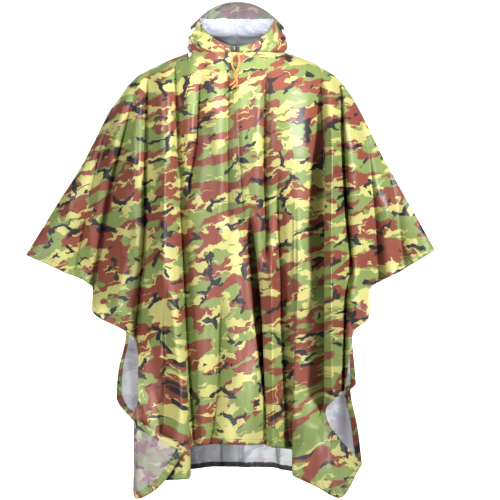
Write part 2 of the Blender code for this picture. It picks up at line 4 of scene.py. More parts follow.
import bmesh
import bpy
import numpy as np
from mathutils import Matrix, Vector


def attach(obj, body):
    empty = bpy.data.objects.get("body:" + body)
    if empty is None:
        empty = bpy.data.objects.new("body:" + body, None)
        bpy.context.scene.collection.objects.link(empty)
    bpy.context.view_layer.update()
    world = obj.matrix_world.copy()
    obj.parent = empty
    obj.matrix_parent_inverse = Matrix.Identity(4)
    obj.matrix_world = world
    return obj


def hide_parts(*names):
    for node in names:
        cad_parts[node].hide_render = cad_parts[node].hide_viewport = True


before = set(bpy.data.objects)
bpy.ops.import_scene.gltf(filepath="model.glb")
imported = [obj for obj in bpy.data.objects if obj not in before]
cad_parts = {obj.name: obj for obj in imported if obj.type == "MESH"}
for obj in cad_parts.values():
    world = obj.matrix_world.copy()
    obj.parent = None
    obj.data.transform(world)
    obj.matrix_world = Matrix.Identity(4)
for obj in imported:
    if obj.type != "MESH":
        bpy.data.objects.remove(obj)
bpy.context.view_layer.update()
panelDensity, hoodDensity = ((1.0, 1.0))

camera = {"place": (0.0364, -6.5, -0.494), "lens": 180.0, "sensor": 36.0}


def putInScene(name, data, place=(0, 0, 0), turn=(0, 0, 0)):
    thing = bpy.data.objects.new(name, data)
    thing.location, thing.rotation_euler = place, turn
    bpy.context.scene.collection.objects.link(thing)
    return thing


eye = bpy.data.cameras.new("camera")
eye.lens, eye.sensor_width = camera["lens"], camera["sensor"]
bpy.context.scene.camera = putInScene("camera", eye, camera["place"], (math.pi / 2, 0, 0))

# the routes are those of the model's cord solids
drawcord = {
    "diameter": 0.004, "spacing": 0.0022, "around": 14, "endLength": 0.0025, "endShare": 0.80,
    "left": [
        (0.0012, -0.1105, 0.0096), (0.0006, -0.1105, 0.0066), (-0.0058, -0.1112, 0.0024),
        (-0.0100, -0.1120, -0.0068), (-0.0102, -0.1142, -0.0170), (-0.0074, -0.1176, -0.0265),
        (-0.0036, -0.1214, -0.0345), (0.0004, -0.1243, -0.0415), (0.0040, -0.1292, -0.0490),
        (0.0008, -0.1376, -0.0565), (-0.0024, -0.1366, -0.0640), (-0.0080, -0.1386, -0.0700),
        (-0.0152, -0.1408, -0.0752),
    ],
    "right": [
        (0.0068, -0.1105, 0.0100), (0.0072, -0.1105, 0.0045), (0.0090, -0.1114, -0.0056),
        (0.0092, -0.1136, -0.0148), (0.0070, -0.1176, -0.0250), (0.0036, -0.1232, -0.0345),
        (0.0004, -0.1304, -0.0415), (-0.0028, -0.1296, -0.0490), (0.0008, -0.1316, -0.0565),
        (0.0040, -0.1356, -0.0640), (0.0024, -0.1384, -0.0710), (-0.0040, -0.1412, -0.0775),
        (-0.0105, -0.1434, -0.0840),
    ],
}

# "foldShare" is how much of a fold's depth counts when the print is laid out
cloth = {"thickness": 0.0008, "cadWall": 0.002, "seamGap": 0.0003, "hemWidth": 0.016, "foldShare": 0.5}
drape = {"shoulderRoll": 0.10, "bodyRound": 0.75, "pleatTuck": 0.030, "pleatLayers": 0.022,
         "tuckOpens": (0.55, 0.95), "layersOpen": (0.30, 0.62), "calm": (0.06, 0.14),
         "backShare": 0.62, "flatHem": 0.7}
# the form of every fold; a table depth of one unit makes the depth given here
fold = {"unit": 0.016, "depth": 0.052, "power": 0.6, "deepest": 0.075, "width": 0.85, "widening": 0.25,
        "blunt": 0.15, "lipDepth": 0.6, "steep": 0.60, "slack": 0.35, "undercut": 0.010,
        "above": 0.07, "below": 0.05}
flap = {"ridgeX": -0.243, "topZ": -0.80, "roll": 0.017, "lean": 0.35}
neck = {"centreX": 0.003, "halfWidth": 0.125}

# columns: half width, front y, side y, back y, front z, side z, back z
neckline = (0.125, -0.1005, 0.000, 0.0885, 0.0122, 0.0185, 0.0157)

# The edge tables have columns: share along the edge, x, y, z.
# The two shoulders lie in one upright plane; here x and z on the left, then on the right.
shoulders = [
    (0.00, -0.546, -0.507, 0.517, -0.494),  # arm corner
    (0.33, -0.403, -0.273, 0.390, -0.268),  # forearm
    (0.66, -0.262, -0.043, 0.259, -0.043),  # shoulder
    (0.70, -0.236, -0.030, 0.234, -0.027),  # shoulder tip
    (0.76, -0.192, -0.008, 0.193, -0.004),  # yoke
    (0.84, -0.122, 0.0195, 0.128, 0.0195),  # neck side
]
leftShoulder = [(at, x, 0.0, z) for at, x, z, _, _ in shoulders]
rightShoulder = [(at, x, 0.0, z) for at, _, _, x, z in shoulders]
leftFront = {
    "side": -1, "front": True, "shoulder": leftShoulder, "lap": 0.003, "under": 0.0,
    "edge": [
        (0.00, -0.546, -0.024, -0.507),  # arm corner
        (0.14, -0.453, -0.040, -0.548),  # cuff
        (0.27, -0.363, -0.055, -0.600),  # cuff fold
        (0.33, -0.371, -0.064, -0.646),  # cuff step
        (0.46, -0.282, -0.085, -0.704),  # under arm
        (0.53, -0.251, -0.095, -0.732),  # waist
        (0.74, -0.250, -0.115, -0.877),  # thigh
        (1.00, -0.414, -0.125, -0.995),  # corner
    ],
    "hem": [
        (0.00, -0.414, -0.125, -0.995),  # corner
        (0.20, -0.338, -0.125, -1.100),  # corner low
        (0.28, -0.290, -0.125, -1.124),  # tip
        (0.34, -0.262, -0.125, -1.097),  # roll
        (0.70, -0.165, -0.130, -1.077),  # tail
        (1.00, -0.117, -0.135, -1.074),  # pleat
    ],
    "centre": [
        (0.00, 0.006, -0.1005, 0.0130),  # throat
        (0.10, 0.005, -0.140, -0.087),  # collarbone
        (0.25, 0.009, -0.163, -0.240),  # chest
        (0.50, 0.024, -0.158, -0.494),  # waist
        (0.76, 0.041, -0.160, -0.748),  # hip
        (1.00, 0.052, -0.160, -0.991),  # hem
    ],
    "pleat": {
        "start": 0.79, "end": 0.81,
        "outer": [
            (0.00, -0.166, -0.001, 0.002),  # shoulder
            (0.50, -0.146, -0.140, -0.535),  # waist
            (0.80, -0.126, -0.140, -0.850),  # thigh
            (1.00, -0.117, -0.140, -1.074),  # hem
        ],
        "inner": [
            (0.00, -0.148, -0.001, 0.009),  # shoulder
            (0.50, -0.130, -0.140, -0.495),  # waist
            (0.80, -0.119, -0.140, -0.795),  # thigh
            (1.00, -0.117, -0.140, -0.997),  # hem
        ],
        "hem": [
            (0.00, -0.117, -0.135, -0.997),  # pleat
            (0.50, -0.030, -0.155, -0.989),  # front hem
            (1.00, 0.052, -0.160, -0.991),  # centre
        ],
    },
    "columns": (168, 26, 62), "rows": 172,
}
rightFront = {
    "side": 1, "front": True, "shoulder": rightShoulder, "lap": 0.013, "under": 0.005,
    "edge": [
        (0.00, 0.517, -0.024, -0.494),  # arm corner
        (0.14, 0.430, -0.040, -0.548),  # cuff
        (0.27, 0.343, -0.055, -0.602),  # cuff fold
        (0.35, 0.343, -0.064, -0.664),  # cuff step
        (0.43, 0.303, -0.080, -0.705),  # under arm
        (0.48, 0.295, -0.090, -0.738),  # waist
        (0.63, 0.278, -0.115, -0.846),  # hip
        (0.76, 0.229, -0.108, -0.907),  # pleat
        (1.00, 0.322, -0.115, -1.043),  # corner
    ],
    "hem": [
        (0.00, 0.322, -0.115, -1.043),  # corner
        (0.40, 0.264, -0.120, -1.127),  # tip
        (0.70, 0.205, -0.130, -1.098),  # tail
        (1.00, 0.147, -0.140, -1.071),  # pleat
    ],
    "centre": [
        (0.00, -0.010, -0.0955, 0.0130),  # throat
        (0.10, -0.011, -0.134, -0.087),  # collarbone
        (0.25, -0.007, -0.155, -0.240),  # chest
        (0.50, 0.008, -0.140, -0.494),  # waist
        (0.76, 0.025, -0.112, -0.748),  # hip
        (1.00, 0.034, -0.105, -0.992),  # hem
    ],
    "pleat": {
        "start": 0.808, "end": 0.828,
        "outer": [
            (0.00, 0.154, -0.001, 0.012),  # shoulder
            (0.50, 0.158, -0.140, -0.530),  # waist
            (0.80, 0.151, -0.140, -0.840),  # thigh
            (1.00, 0.147, -0.140, -1.071),  # hem
        ],
        "inner": [
            (0.00, 0.138, -0.001, 0.016),  # shoulder
            (0.50, 0.140, -0.140, -0.500),  # waist
            (0.80, 0.144, -0.140, -0.803),  # thigh
            (1.00, 0.147, -0.140, -1.008),  # hem
        ],
        "hem": [
            (0.00, 0.147, -0.140, -1.008),  # pleat
            (0.70, 0.070, -0.150, -0.994),  # front hem
            (1.00, 0.034, -0.105, -0.992),  # centre
        ],
    },
    "columns": (162, 26, 66), "rows": 172,
}
backCentre = [
    (0.00, 0.003, 0.0885, 0.0157),  # nape
    (0.10, 0.004, 0.122, -0.090),  # shoulder blades
    (0.25, 0.005, 0.145, -0.250),  # upper back
    (0.50, 0.006, 0.136, -0.520),  # waist
    (0.75, 0.008, 0.140, -0.800),  # seat
    (1.00, 0.010, 0.140, -1.060),  # hem
]
leftBack = {
    "side": -1, "front": False, "shoulder": leftShoulder, "lap": 0.0, "under": 0.0, "centre": backCentre,
    "edge": [
        (0.00, -0.546, 0.024, -0.507),  # arm corner
        (0.14, -0.465, 0.040, -0.539),  # cuff
        (0.28, -0.378, 0.055, -0.588),  # cuff fold
        (0.48, -0.290, 0.085, -0.713),  # under arm
        (0.64, -0.312, 0.100, -0.816),  # hip
        (0.73, -0.317, 0.105, -0.879),  # thigh
        (0.87, -0.262, 0.105, -0.961),  # turn in
        (1.00, -0.223, 0.110, -1.055),  # corner
    ],
    "hem": [
        (0.00, -0.223, 0.110, -1.055),  # corner
        (0.45, -0.120, 0.125, -1.066),  # side
        (0.75, -0.057, 0.140, -1.059),  # sag
        (1.00, 0.010, 0.140, -1.060),  # centre
    ],
    "columns": 146, "rows": 160,
}
rightBack = {
    "side": 1, "front": False, "shoulder": rightShoulder, "lap": 0.0, "under": 0.0, "centre": backCentre,
    "edge": [
        (0.00, 0.517, 0.024, -0.494),  # arm corner
        (0.15, 0.428, 0.040, -0.541),  # cuff
        (0.30, 0.346, 0.055, -0.594),  # cuff fold
        (0.47, 0.305, 0.085, -0.710),  # under arm
        (0.67, 0.316, 0.100, -0.848),  # hip
        (0.71, 0.302, 0.102, -0.864),  # notch
        (0.87, 0.322, 0.105, -0.970),  # thigh
        (1.00, 0.333, 0.110, -1.062),  # corner
    ],
    "hem": [
        (0.00, 0.333, 0.110, -1.062),  # corner
        (0.26, 0.248, 0.120, -1.092),  # tail
        (0.55, 0.150, 0.130, -1.071),  # side
        (0.75, 0.090, 0.140, -1.061),  # sag
        (1.00, 0.010, 0.140, -1.060),  # centre
    ],
    "columns": 146, "rows": 160,
}
# a knife pleat seen on end: share of its width, how far out under the tail, how far forward
knifePleat = [
    (0.00, 0.00, 0.00), (0.26, 0.80, 0.04), (0.38, 1.00, 0.25), (0.50, 0.80, 0.46),
    (0.74, 0.10, 0.54), (0.86, -0.06, 0.75), (1.00, 0.06, 1.00),
]

# columns: top z, top x, middle z, middle x, low z, low x, depth at top and low, width, lean of its lip
frontFolds = [
    (-0.010, -0.157, -0.494, -0.137, -1.080, -0.105, 0.012, 0.016, 0.024, 0.9),  # long left
    (-0.050, -0.226, -0.400, -0.222, -0.720, -0.246, 0.012, 0.024, 0.025, 0.7),  # left sleeve
    (-0.110, -0.262, -0.365, -0.319, -0.620, -0.366, 0.010, 0.024, 0.027, 0.5),  # left cuff
    (-0.150, -0.318, -0.360, -0.375, -0.560, -0.420, 0.006, 0.012, 0.028, 0.4),  # left arm
    (-0.060, -0.090, -0.200, -0.098, -0.330, -0.118, 0.007, 0.006, 0.015, 0.6),  # left chest
    (-0.040, -0.017, -0.200, -0.019, -0.420, -0.016, 0.006, 0.005, 0.013),  # beside placket
    (-0.620, -0.036, -0.800, -0.042, -1.000, -0.062, 0.004, 0.014, 0.020, 0.4),  # left lower
    (-0.640, -0.178, -0.850, -0.180, -1.060, -0.184, 0.003, 0.005, 0.020),  # left tail
    (-0.280, -0.180, -0.550, -0.182, -0.780, -0.188, -0.010, -0.008, 0.024),  # left roll
    (-0.420, 0.036, -0.700, 0.054, -1.010, 0.060, 0.004, 0.060, 0.016, -0.9),  # centre pleat
    (-0.060, 0.075, -0.250, 0.074, -0.500, 0.078, 0.006, 0.006, 0.010, 0.5),  # right thin
    (-0.330, 0.108, -0.600, 0.118, -1.010, 0.140, 0.005, 0.014, 0.018, -0.4),  # right lower
    (-0.500, 0.090, -0.750, 0.094, -1.000, 0.096, -0.004, -0.012, 0.016),  # centre roll
    (-0.060, 0.217, -0.500, 0.209, -0.900, 0.206, 0.014, 0.032, 0.026, -0.9),  # long right
    (-0.050, 0.266, -0.300, 0.272, -0.560, 0.292, 0.012, 0.018, 0.015, -0.7),  # right shoulder
    (-0.560, 0.284, -0.680, 0.276, -0.860, 0.270, 0.010, 0.016, 0.012, -0.6),  # right hip
    (-0.200, 0.244, -0.500, 0.242, -0.850, 0.244, -0.010, -0.014, 0.014),  # right roll
    (-0.160, 0.330, -0.380, 0.352, -0.600, 0.372, 0.006, 0.014, 0.027, -0.5),  # right cuff
    (-0.220, 0.385, -0.380, 0.415, -0.540, 0.436, 0.004, 0.010, 0.026),  # right arm
]
backFolds = [
    (-0.060, -0.232, -0.400, -0.245, -0.720, -0.262, 0.010, 0.022, 0.025, 0.6),  # left sleeve
    (-0.130, -0.290, -0.360, -0.338, -0.590, -0.385, 0.008, 0.018, 0.028),  # left cuff
    (-0.080, -0.150, -0.550, -0.158, -1.080, -0.170, 0.012, 0.038, 0.024, 0.8),  # long left
    (-0.120, -0.080, -0.450, -0.084, -0.800, -0.100, 0.005, 0.014, 0.018),  # left blade
    (-0.640, -0.052, -0.850, -0.048, -1.080, -0.050, 0.004, 0.022, 0.018, -0.4),  # left low
    (-0.300, 0.014, -0.650, 0.024, -1.080, 0.034, 0.004, 0.030, 0.022, 0.6),  # middle
    (-0.100, 0.084, -0.400, 0.092, -0.700, 0.096, 0.006, 0.012, 0.016),  # right blade
    (-0.560, 0.118, -0.800, 0.122, -1.080, 0.126, 0.006, 0.026, 0.019, 0.5),  # right low
    (-0.070, 0.180, -0.500, 0.192, -1.080, 0.214, 0.012, 0.040, 0.024, -0.8),  # long right
    (-0.060, 0.244, -0.400, 0.262, -0.800, 0.276, 0.010, 0.022, 0.018, -0.6),  # right sleeve
    (-0.150, 0.310, -0.360, 0.346, -0.590, 0.372, 0.008, 0.016, 0.028),  # right cuff
]


def smoothCurve(places, values, at):  # goes through the points and never swings past them
    places, values = np.asarray(places, float), np.asarray(values, float)
    step = np.diff(places)
    rise = np.diff(values) / step
    slope = np.zeros(len(places))
    slope[0], slope[-1] = rise[0], rise[-1]
    for k in range(1, len(step)):
        if rise[k - 1] * rise[k] > 0:
            before, after = 2 * step[k] + step[k - 1], step[k] + 2 * step[k - 1]
            slope[k] = (before + after) / (before / rise[k - 1] + after / rise[k])
    at = np.clip(at, places[0], places[-1])
    k = np.clip(np.searchsorted(places, at, side="right") - 1, 0, len(step) - 1)
    t = (at - places[k]) / step[k]
    return (values[k] * (1 + 2 * t) * (1 - t) ** 2 + slope[k] * step[k] * t * (1 - t) ** 2
            + values[k + 1] * t * t * (3 - 2 * t) + slope[k + 1] * step[k] * t * t * (t - 1))


def ease(low, high, value):
    t = np.clip((value - low) / (high - low), 0.0, 1.0)
    return t * t * (3 - 2 * t)


def edgePoint(rows, at):
    places, *axes = zip(*rows)
    return np.stack([smoothCurve(places, values, at) for values in axes], axis=-1)


def hoopPoint(hoop, turn):  # turn runs from 0 at the throat to pi at the nape, on the +X side
    halfWidth, frontY, sideY, backY, frontZ, sideZ, backZ = hoop
    cosine = np.cos(turn)
    x = neck["centreX"] + halfWidth * np.sin(np.abs(turn)) * np.where(turn > 0, 1, -1)
    y = np.where(cosine > 0, sideY + (frontY - sideY) * cosine, sideY - (backY - sideY) * cosine)
    z = np.where(cosine > 0, frontZ + (sideZ - frontZ) * (1 - np.maximum(cosine, 0)) ** 0.8,
                 sideZ - (backZ - sideZ) * cosine)
    return np.stack([x, y, z], axis=-1)


def topEdge(panel, across):
    across = np.asarray(across, float)
    inward = 1 if panel["front"] else -1
    neckStart = panel["shoulder"][-1][0]
    arm = edgePoint(panel["shoulder"], across)
    arm[..., 1] -= inward * (cloth["cadWall"] / 2 + cloth["seamGap"])
    share = np.clip((across - neckStart) / (1 - neckStart), 0, 1)
    quarter = math.pi / 2
    if panel["front"]:
        turn = quarter * (1 - share) - panel["lap"] / neck["halfWidth"] * share
    else:
        turn = quarter * (1 + share)
    throat = hoopPoint(neckline, panel["side"] * turn)
    throat[..., 1] += panel["under"] * ease(0.5, 1.0, share)
    return np.where((across <= neckStart)[..., None], arm, throat)


def upright(panel, rows, across, down):  # an upright line, moved so that it starts on the top edge
    top = topEdge(panel, np.full_like(down, across))
    return edgePoint(rows, down) + (top - edgePoint(rows, np.zeros_like(down))) * (1 - down)[..., None]


def gore(panel, across, down, start, end, outer, inner, hem):
    share = (across - start) / (end - start)
    a, d = share[..., None], down[..., None]
    topStart, topEnd = (topEdge(panel, np.full_like(down, place)) for place in (start, end))
    hemStart, hemEnd = (edgePoint(hem, np.full_like(down, place)) for place in (0.0, 1.0))
    flat = (topStart * (1 - a) + topEnd * a) * (1 - d) + (hemStart * (1 - a) + hemEnd * a) * d
    return (topEdge(panel, across) * (1 - d) + edgePoint(hem, share) * d
            + upright(panel, outer, start, down) * (1 - a) + upright(panel, inner, end, down) * a - flat)


def pleatedSheet(panel, across, down):  # the sheet from the front, and how far its pleat brings it forward
    if "pleat" not in panel:
        plain = gore(panel, across, down, 0, 1, panel["edge"], panel["centre"], panel["hem"])
        return plain, np.zeros_like(down)
    pleat = panel["pleat"]
    start, end = pleat["start"], pleat["end"]
    layers = drape["pleatLayers"] * ease(*drape["layersOpen"], down)
    outside = gore(panel, across, down, 0, start, panel["edge"], pleat["outer"], panel["hem"])
    inside = gore(panel, across, down, end, 1, pleat["inner"], panel["centre"], pleat["hem"])
    share = np.clip((end - across) / (end - start), 0, 1)
    shares, outs, forwards = zip(*knifePleat)
    out = smoothCurve(shares, outs, share) - outs[-1] * share
    forward = smoothCurve(shares, forwards, share)
    innerLine = upright(panel, pleat["inner"], end, down)
    outerLine = upright(panel, pleat["outer"], start, down)
    tuck = innerLine + (outerLine - innerLine) * share[..., None]
    tuck[..., 0] += panel["side"] * drape["pleatTuck"] * ease(*drape["tuckOpens"], down) * out
    outer, inner = across <= start, across >= end
    point = np.where(outer[..., None], outside, np.where(inner[..., None], inside, tuck))
    return point, layers * np.where(outer, ease(0.1, 0.8, across / start), np.where(inner, 0.0, forward))


def hang(panel, across, down):
    point, forward = pleatedSheet(panel, across, down)
    top, edge = topEdge(panel, across), edgePoint(panel["edge"], down)
    centre = upright(panel, panel["centre"], 1.0, down)
    body = np.sin(math.pi / 2 * np.minimum(across / drape["bodyRound"], 1.0)) ** 1.3
    deep = edge[..., 1] * (1 - body) + centre[..., 1] * body
    roll = np.sqrt(1 - (1 - np.minimum(down / drape["shoulderRoll"], 1.0)) ** 2)
    inward = 1 if panel["front"] else -1
    point[..., 1] = top[..., 1] * (1 - roll) + deep * roll - inward * forward
    return point, roll


# valleys go towards the body, ridges away from it; both fade out at their ends
def foldDepth(rows, point, roll):
    x, z = point[..., 0], point[..., 2]
    depth, sideways = np.zeros_like(x), np.zeros_like(x)
    for topZ, topX, midZ, midX, lowZ, lowX, topDepth, lowDepth, width, *lip in rows:
        line = smoothCurve([lowZ, midZ, topZ], [lowX, midX, topX], z)
        share = np.clip((topZ - z) / (topZ - lowZ), 0.0, 1.0)
        size = topDepth + (lowDepth - topDepth) * share ** 0.8
        ends = ease(topZ + fold["above"], topZ - 0.06, z) * ease(lowZ - fold["below"], lowZ + 0.02, z)
        lean = lip[0] if lip else 0.0  # 1 is a steep lip on the left of the valley, -1 on its right
        steep, slack = 1 - fold["steep"] * abs(lean), 1 + fold["slack"] * abs(lean)
        before, after = (steep, slack) if lean > 0 else (slack, steep)
        away = (x - line) / (width * fold["width"] * (1.0 + fold["widening"] * share))
        away = away / np.where(away < 0, before, after)
        profile = ends * np.exp(fold["blunt"] - np.sqrt(away ** 2 + fold["blunt"] ** 2))
        size = size * (1 + fold["lipDepth"] * abs(lean))
        deep = fold["depth"] * (np.abs(size) / fold["unit"]) ** fold["power"]
        deep = deep / (1 + (deep / fold["deepest"]) ** 3) ** (1 / 3)  # never deeper than the deepest
        depth += deep * np.sign(size) * profile
        # the valley goes in under its lip
        sideways -= fold["undercut"] * lean * size / fold["unit"] * profile ** 1.5
    return depth * ease(0.0, 0.8, roll), sideways * ease(0.3, 0.9, roll)


def rollCorner(panel, point):  # the left front's lowest corner is rolled forward and lies inside out
    if not (panel["front"] and panel["side"] < 0):
        return point
    spare = np.where(point[..., 2] < flap["topZ"], flap["ridgeX"] - point[..., 0], 0.0)
    angle = np.clip(spare / flap["roll"], 0.0, math.pi)
    past = np.maximum(spare - math.pi * flap["roll"], 0.0)
    turned = point.copy()
    turned[..., 0] = flap["ridgeX"] - flap["roll"] * np.sin(angle) + past
    turned[..., 1] = point[..., 1] - flap["roll"] * (1 - np.cos(angle)) - flap["lean"] * past
    return np.where((spare > 0)[..., None], turned, point)


# fine relief of the cloth itself, in metres
crinkle = {"seed": 11, "waves": 16, "shortest": 0.034, "longest": 0.15, "steepness": 0.024, "spread": 0.12}
pucker = {"depth": 0.0016, "reach": 0.022, "length": 0.017,
          "neckDepth": 0.0022, "neckReach": 0.045, "neckLength": 0.024}


def crinkleDepth(u, v):
    rng = np.random.default_rng(crinkle["seed"])
    depth = np.zeros_like(u)
    for _ in range(crinkle["waves"]):
        length = crinkle["shortest"] * (crinkle["longest"] / crinkle["shortest"]) ** rng.random()
        lean = rng.normal(0.0, crinkle["spread"])
        phase, slowPhase, slowLength = rng.random() * 6.28, rng.random() * 6.28, 0.34 + 0.4 * rng.random()
        across = u * math.cos(lean) + v * math.sin(lean)
        swell = np.clip(np.sin(2 * math.pi * (v * 0.8 - u * 0.5) / slowLength + slowPhase), 0, 1)
        depth += crinkle["steepness"] * length * np.sin(2 * math.pi * across / length + phase) * swell
    return depth


def puckerDepth(along, distance):
    turns = along / pucker["length"] + 0.5 * np.sin(along * 61 + 1.0) + 0.25 * np.sin(along * 137)
    uneven = 0.65 + 0.35 * np.sin(along * 27 + 0.6)
    fade = np.exp(-(distance / pucker["reach"]) ** 2)
    return pucker["depth"] * np.sin(2 * math.pi * turns) * uneven * fade


def neckGathers(panel, across, maps):
    neckStart, fromNeck = panel["shoulder"][-1][0], maps["alongSide"]
    turns = maps["u"] / pucker["neckLength"] + 0.4 * np.sin(maps["u"] * 43)
    nearNeck = ease(neckStart - 0.02, neckStart + 0.03, across)
    fade = np.exp(-(fromNeck / pucker["neckReach"]) ** 2) * ease(0.0, 0.006, fromNeck)
    return pucker["neckDepth"] * np.sin(2 * math.pi * turns) * nearNeck * fade


def walked(points, axis, plane=(0, 1, 2)):  # distance along rows or columns, counted in the given plane
    step = np.diff(points, axis=axis)
    length = np.sqrt(sum(step[..., k] ** 2 for k in plane))
    start = np.zeros_like(np.take(length, [0], axis=axis))
    return np.concatenate([start, np.cumsum(length, axis=axis)], axis=axis)


def evened(values, reach):  # each value's mean over its neighbours along the row
    sums = np.cumsum(np.pad(values, ((0, 0), (reach, reach)), mode="edge"), axis=1)
    return (sums[:, 2 * reach:] - sums[:, :-2 * reach]) / (2 * reach)


def clothMaps(points, anchor, side):  # place in the cut cloth, and distance from each edge
    acrossWay, downWay = walked(points, 1), walked(points, 0)
    shallow = points * (1, cloth["foldShare"], 1)
    straight = walked(points, 1, (0,))
    extra = walked(shallow, 1, (0, 1)) - straight
    # a fold shifts the print nearby only
    level = straight + extra - evened(extra, max(2, points.shape[1] // 12))
    start = level[:, anchor:anchor + 1]
    u = points[:, anchor:anchor + 1, 0] + (level - start) * (-side if side else 1)
    fall = walked(points, 0, (2,))
    extra = walked(shallow, 0, (1, 2)) - fall
    drop = fall + evened(extra, max(2, points.shape[1] // 8))
    chest = points.shape[0] // 3
    v = points[chest:chest + 1, :, 2] + drop[chest:chest + 1] - drop
    return {"u": u, "v": v, "side": acrossWay, "otherSide": acrossWay[:, -1:] - acrossWay,
            "hem": downWay[-1:] - downWay, "alongSide": downWay, "alongHem": acrossWay}


def finishMesh(name, shape, finishes):
    mesh = bpy.data.meshes.new(name)
    shape.to_mesh(mesh)
    shape.free()
    mesh.shade_smooth()
    for finish in finishes:
        mesh.materials.append(finish)
    return putInScene(name, mesh)


def clothMesh(name, points, maps, edges, hemEdges, flip, finishes, thickness=cloth["thickness"]):
    rows, columns = points.shape[0] - 1, points.shape[1] - 1
    shape = bmesh.new()
    bmesh.ops.create_grid(shape, x_segments=columns, y_segments=rows, size=1.0)
    clothMap, hemMap = shape.loops.layers.uv.new("cloth"), shape.loops.layers.uv.new("hem")
    place = {}
    for vert in shape.verts:
        i = round((vert.co.x + 1) / 2 * columns)
        j = round((1 - vert.co.y) / 2 * rows)
        place[vert.index] = (j, i)
        vert.co = points[j, i]
    for face in shape.faces:
        at = [place[loop.vert.index] for loop in face.loops]
        nearest = min(edges, key=lambda edge: sum(maps[edge][spot] for spot in at))
        along = maps["alongHem"] if nearest == "hem" else maps["alongSide"]
        near = [min(maps[edge][spot] for spot in at) for edge in hemEdges]
        if near and min(near) < cloth["hemWidth"]:
            face.material_index = 2
        for loop, spot in zip(face.loops, at):
            loop[clothMap].uv = (maps["u"][spot], maps["v"][spot])
            loop[hemMap].uv = (along[spot], maps[nearest][spot])
    if flip:
        bmesh.ops.reverse_faces(shape, faces=shape.faces[:])
    thing = finishMesh(name, shape, finishes)
    wall = thing.modifiers.new("cloth", "SOLIDIFY")
    wall.thickness, wall.offset, wall.material_offset = thickness, 0.0, 1
    wall.use_even_offset = False
    return thing


# section gives a point of the tube and its place in the map
def closedTube(name, columns, around, mapName, section, finish):
    shape = bmesh.new()
    bmesh.ops.create_grid(shape, x_segments=columns, y_segments=around, size=1.0)
    tubeMap = shape.loops.layers.uv.new(mapName)
    place = {}
    for vert in shape.verts:
        i, j = round((vert.co.x + 1) / 2 * columns), round((vert.co.y + 1) / 2 * around)
        vert.co, place[vert.index] = section(i, j / around)
    for face in shape.faces:
        for loop in face.loops:
            loop[tubeMap].uv = place[loop.vert.index]
    bmesh.ops.remove_doubles(shape, verts=shape.verts[:], dist=1e-6)
    bmesh.ops.holes_fill(shape, edges=[edge for edge in shape.edges if edge.is_boundary], sides=0)
    bmesh.ops.recalc_face_normals(shape, faces=shape.faces[:])
    return finishMesh(name, shape, [finish])


def dressPanel(panel, across, down, folds):
    point, roll = hang(panel, across, down)
    inward = 1 if panel["front"] else -1
    depth, sideways = foldDepth(folds, point, roll)
    calm = np.ones_like(across)  # a pleat's layers lie close, so they keep out of the lips and the crinkles
    if "pleat" in panel:
        start, end = panel["pleat"]["start"], panel["pleat"]["end"]
        calm = ease(*drape["calm"], np.maximum(start - across, across - end))
    if not panel["front"]:  # clear of the wearer, and nearly flat at the taped hem
        depth *= drape["backShare"] * (1 - drape["flatHem"] * ease(0.75, 1.0, down))
    point[..., 1] += inward * depth
    point[..., 0] += sideways * calm
    maps = clothMaps(point, point.shape[1] - 1, panel["side"])
    small = crinkleDepth(maps["u"] + 3.0 * panel["side"], maps["v"]) * ease(0.05, 0.5, roll)
    small = small * ease(0.0, 0.02, maps["otherSide"]) * (0.1 + 0.9 * calm)
    small += neckGathers(panel, across, maps)
    tight = puckerDepth(maps["alongSide"], maps["side"]) + puckerDepth(maps["alongHem"] + 0.4, maps["hem"])
    point[..., 1] += inward * (small + tight * ease(0.3, 0.9, roll))
    return rollCorner(panel, point), maps


def spread(share, columns, pleat):  # a pleated panel's columns: outside, in and inside its pleat
    outer, tucked, inner = columns
    places = [0, outer, outer + tucked, outer + tucked + inner]
    return np.interp(share * places[-1], places, [0.0, pleat["start"], pleat["end"], 1.0])


def frontPanel(name, panel, finishes):
    columns = [max(6, round(count * panelDensity)) for count in panel["columns"]]
    rows = round(panel["rows"] * panelDensity)
    across = spread(np.linspace(0, 1, sum(columns) + 1), columns, panel["pleat"])
    across, down = np.meshgrid(across, np.linspace(0, 1, rows + 1) ** 1.35)
    points, maps = dressPanel(panel, across, down, frontFolds)
    edges, hemEdges = ("side", "otherSide", "hem"), ("side", "hem")
    return clothMesh(name, points, maps, edges, hemEdges, panel["side"] > 0, finishes)


def backPanel(name, finishes):
    columns, rows = round(leftBack["columns"] * panelDensity), round(leftBack["rows"] * panelDensity)
    across, down = np.meshgrid(np.linspace(0, 1, columns + 1), np.linspace(0, 1, rows + 1) ** 1.35)
    left, right = (dressPanel(panel, across, down, backFolds)[0] for panel in (leftBack, rightBack))
    middle = (left[:, -1:] + right[:, -1:]) / 2
    points = np.concatenate([left[:, :-1], middle, right[:, -2::-1]], axis=1)
    maps = clothMaps(points, columns, 0)
    edges, hemEdges = ("side", "otherSide", "hem"), ("side", "otherSide")
    return clothMesh(name, points, maps, edges, hemEdges, True, finishes), points


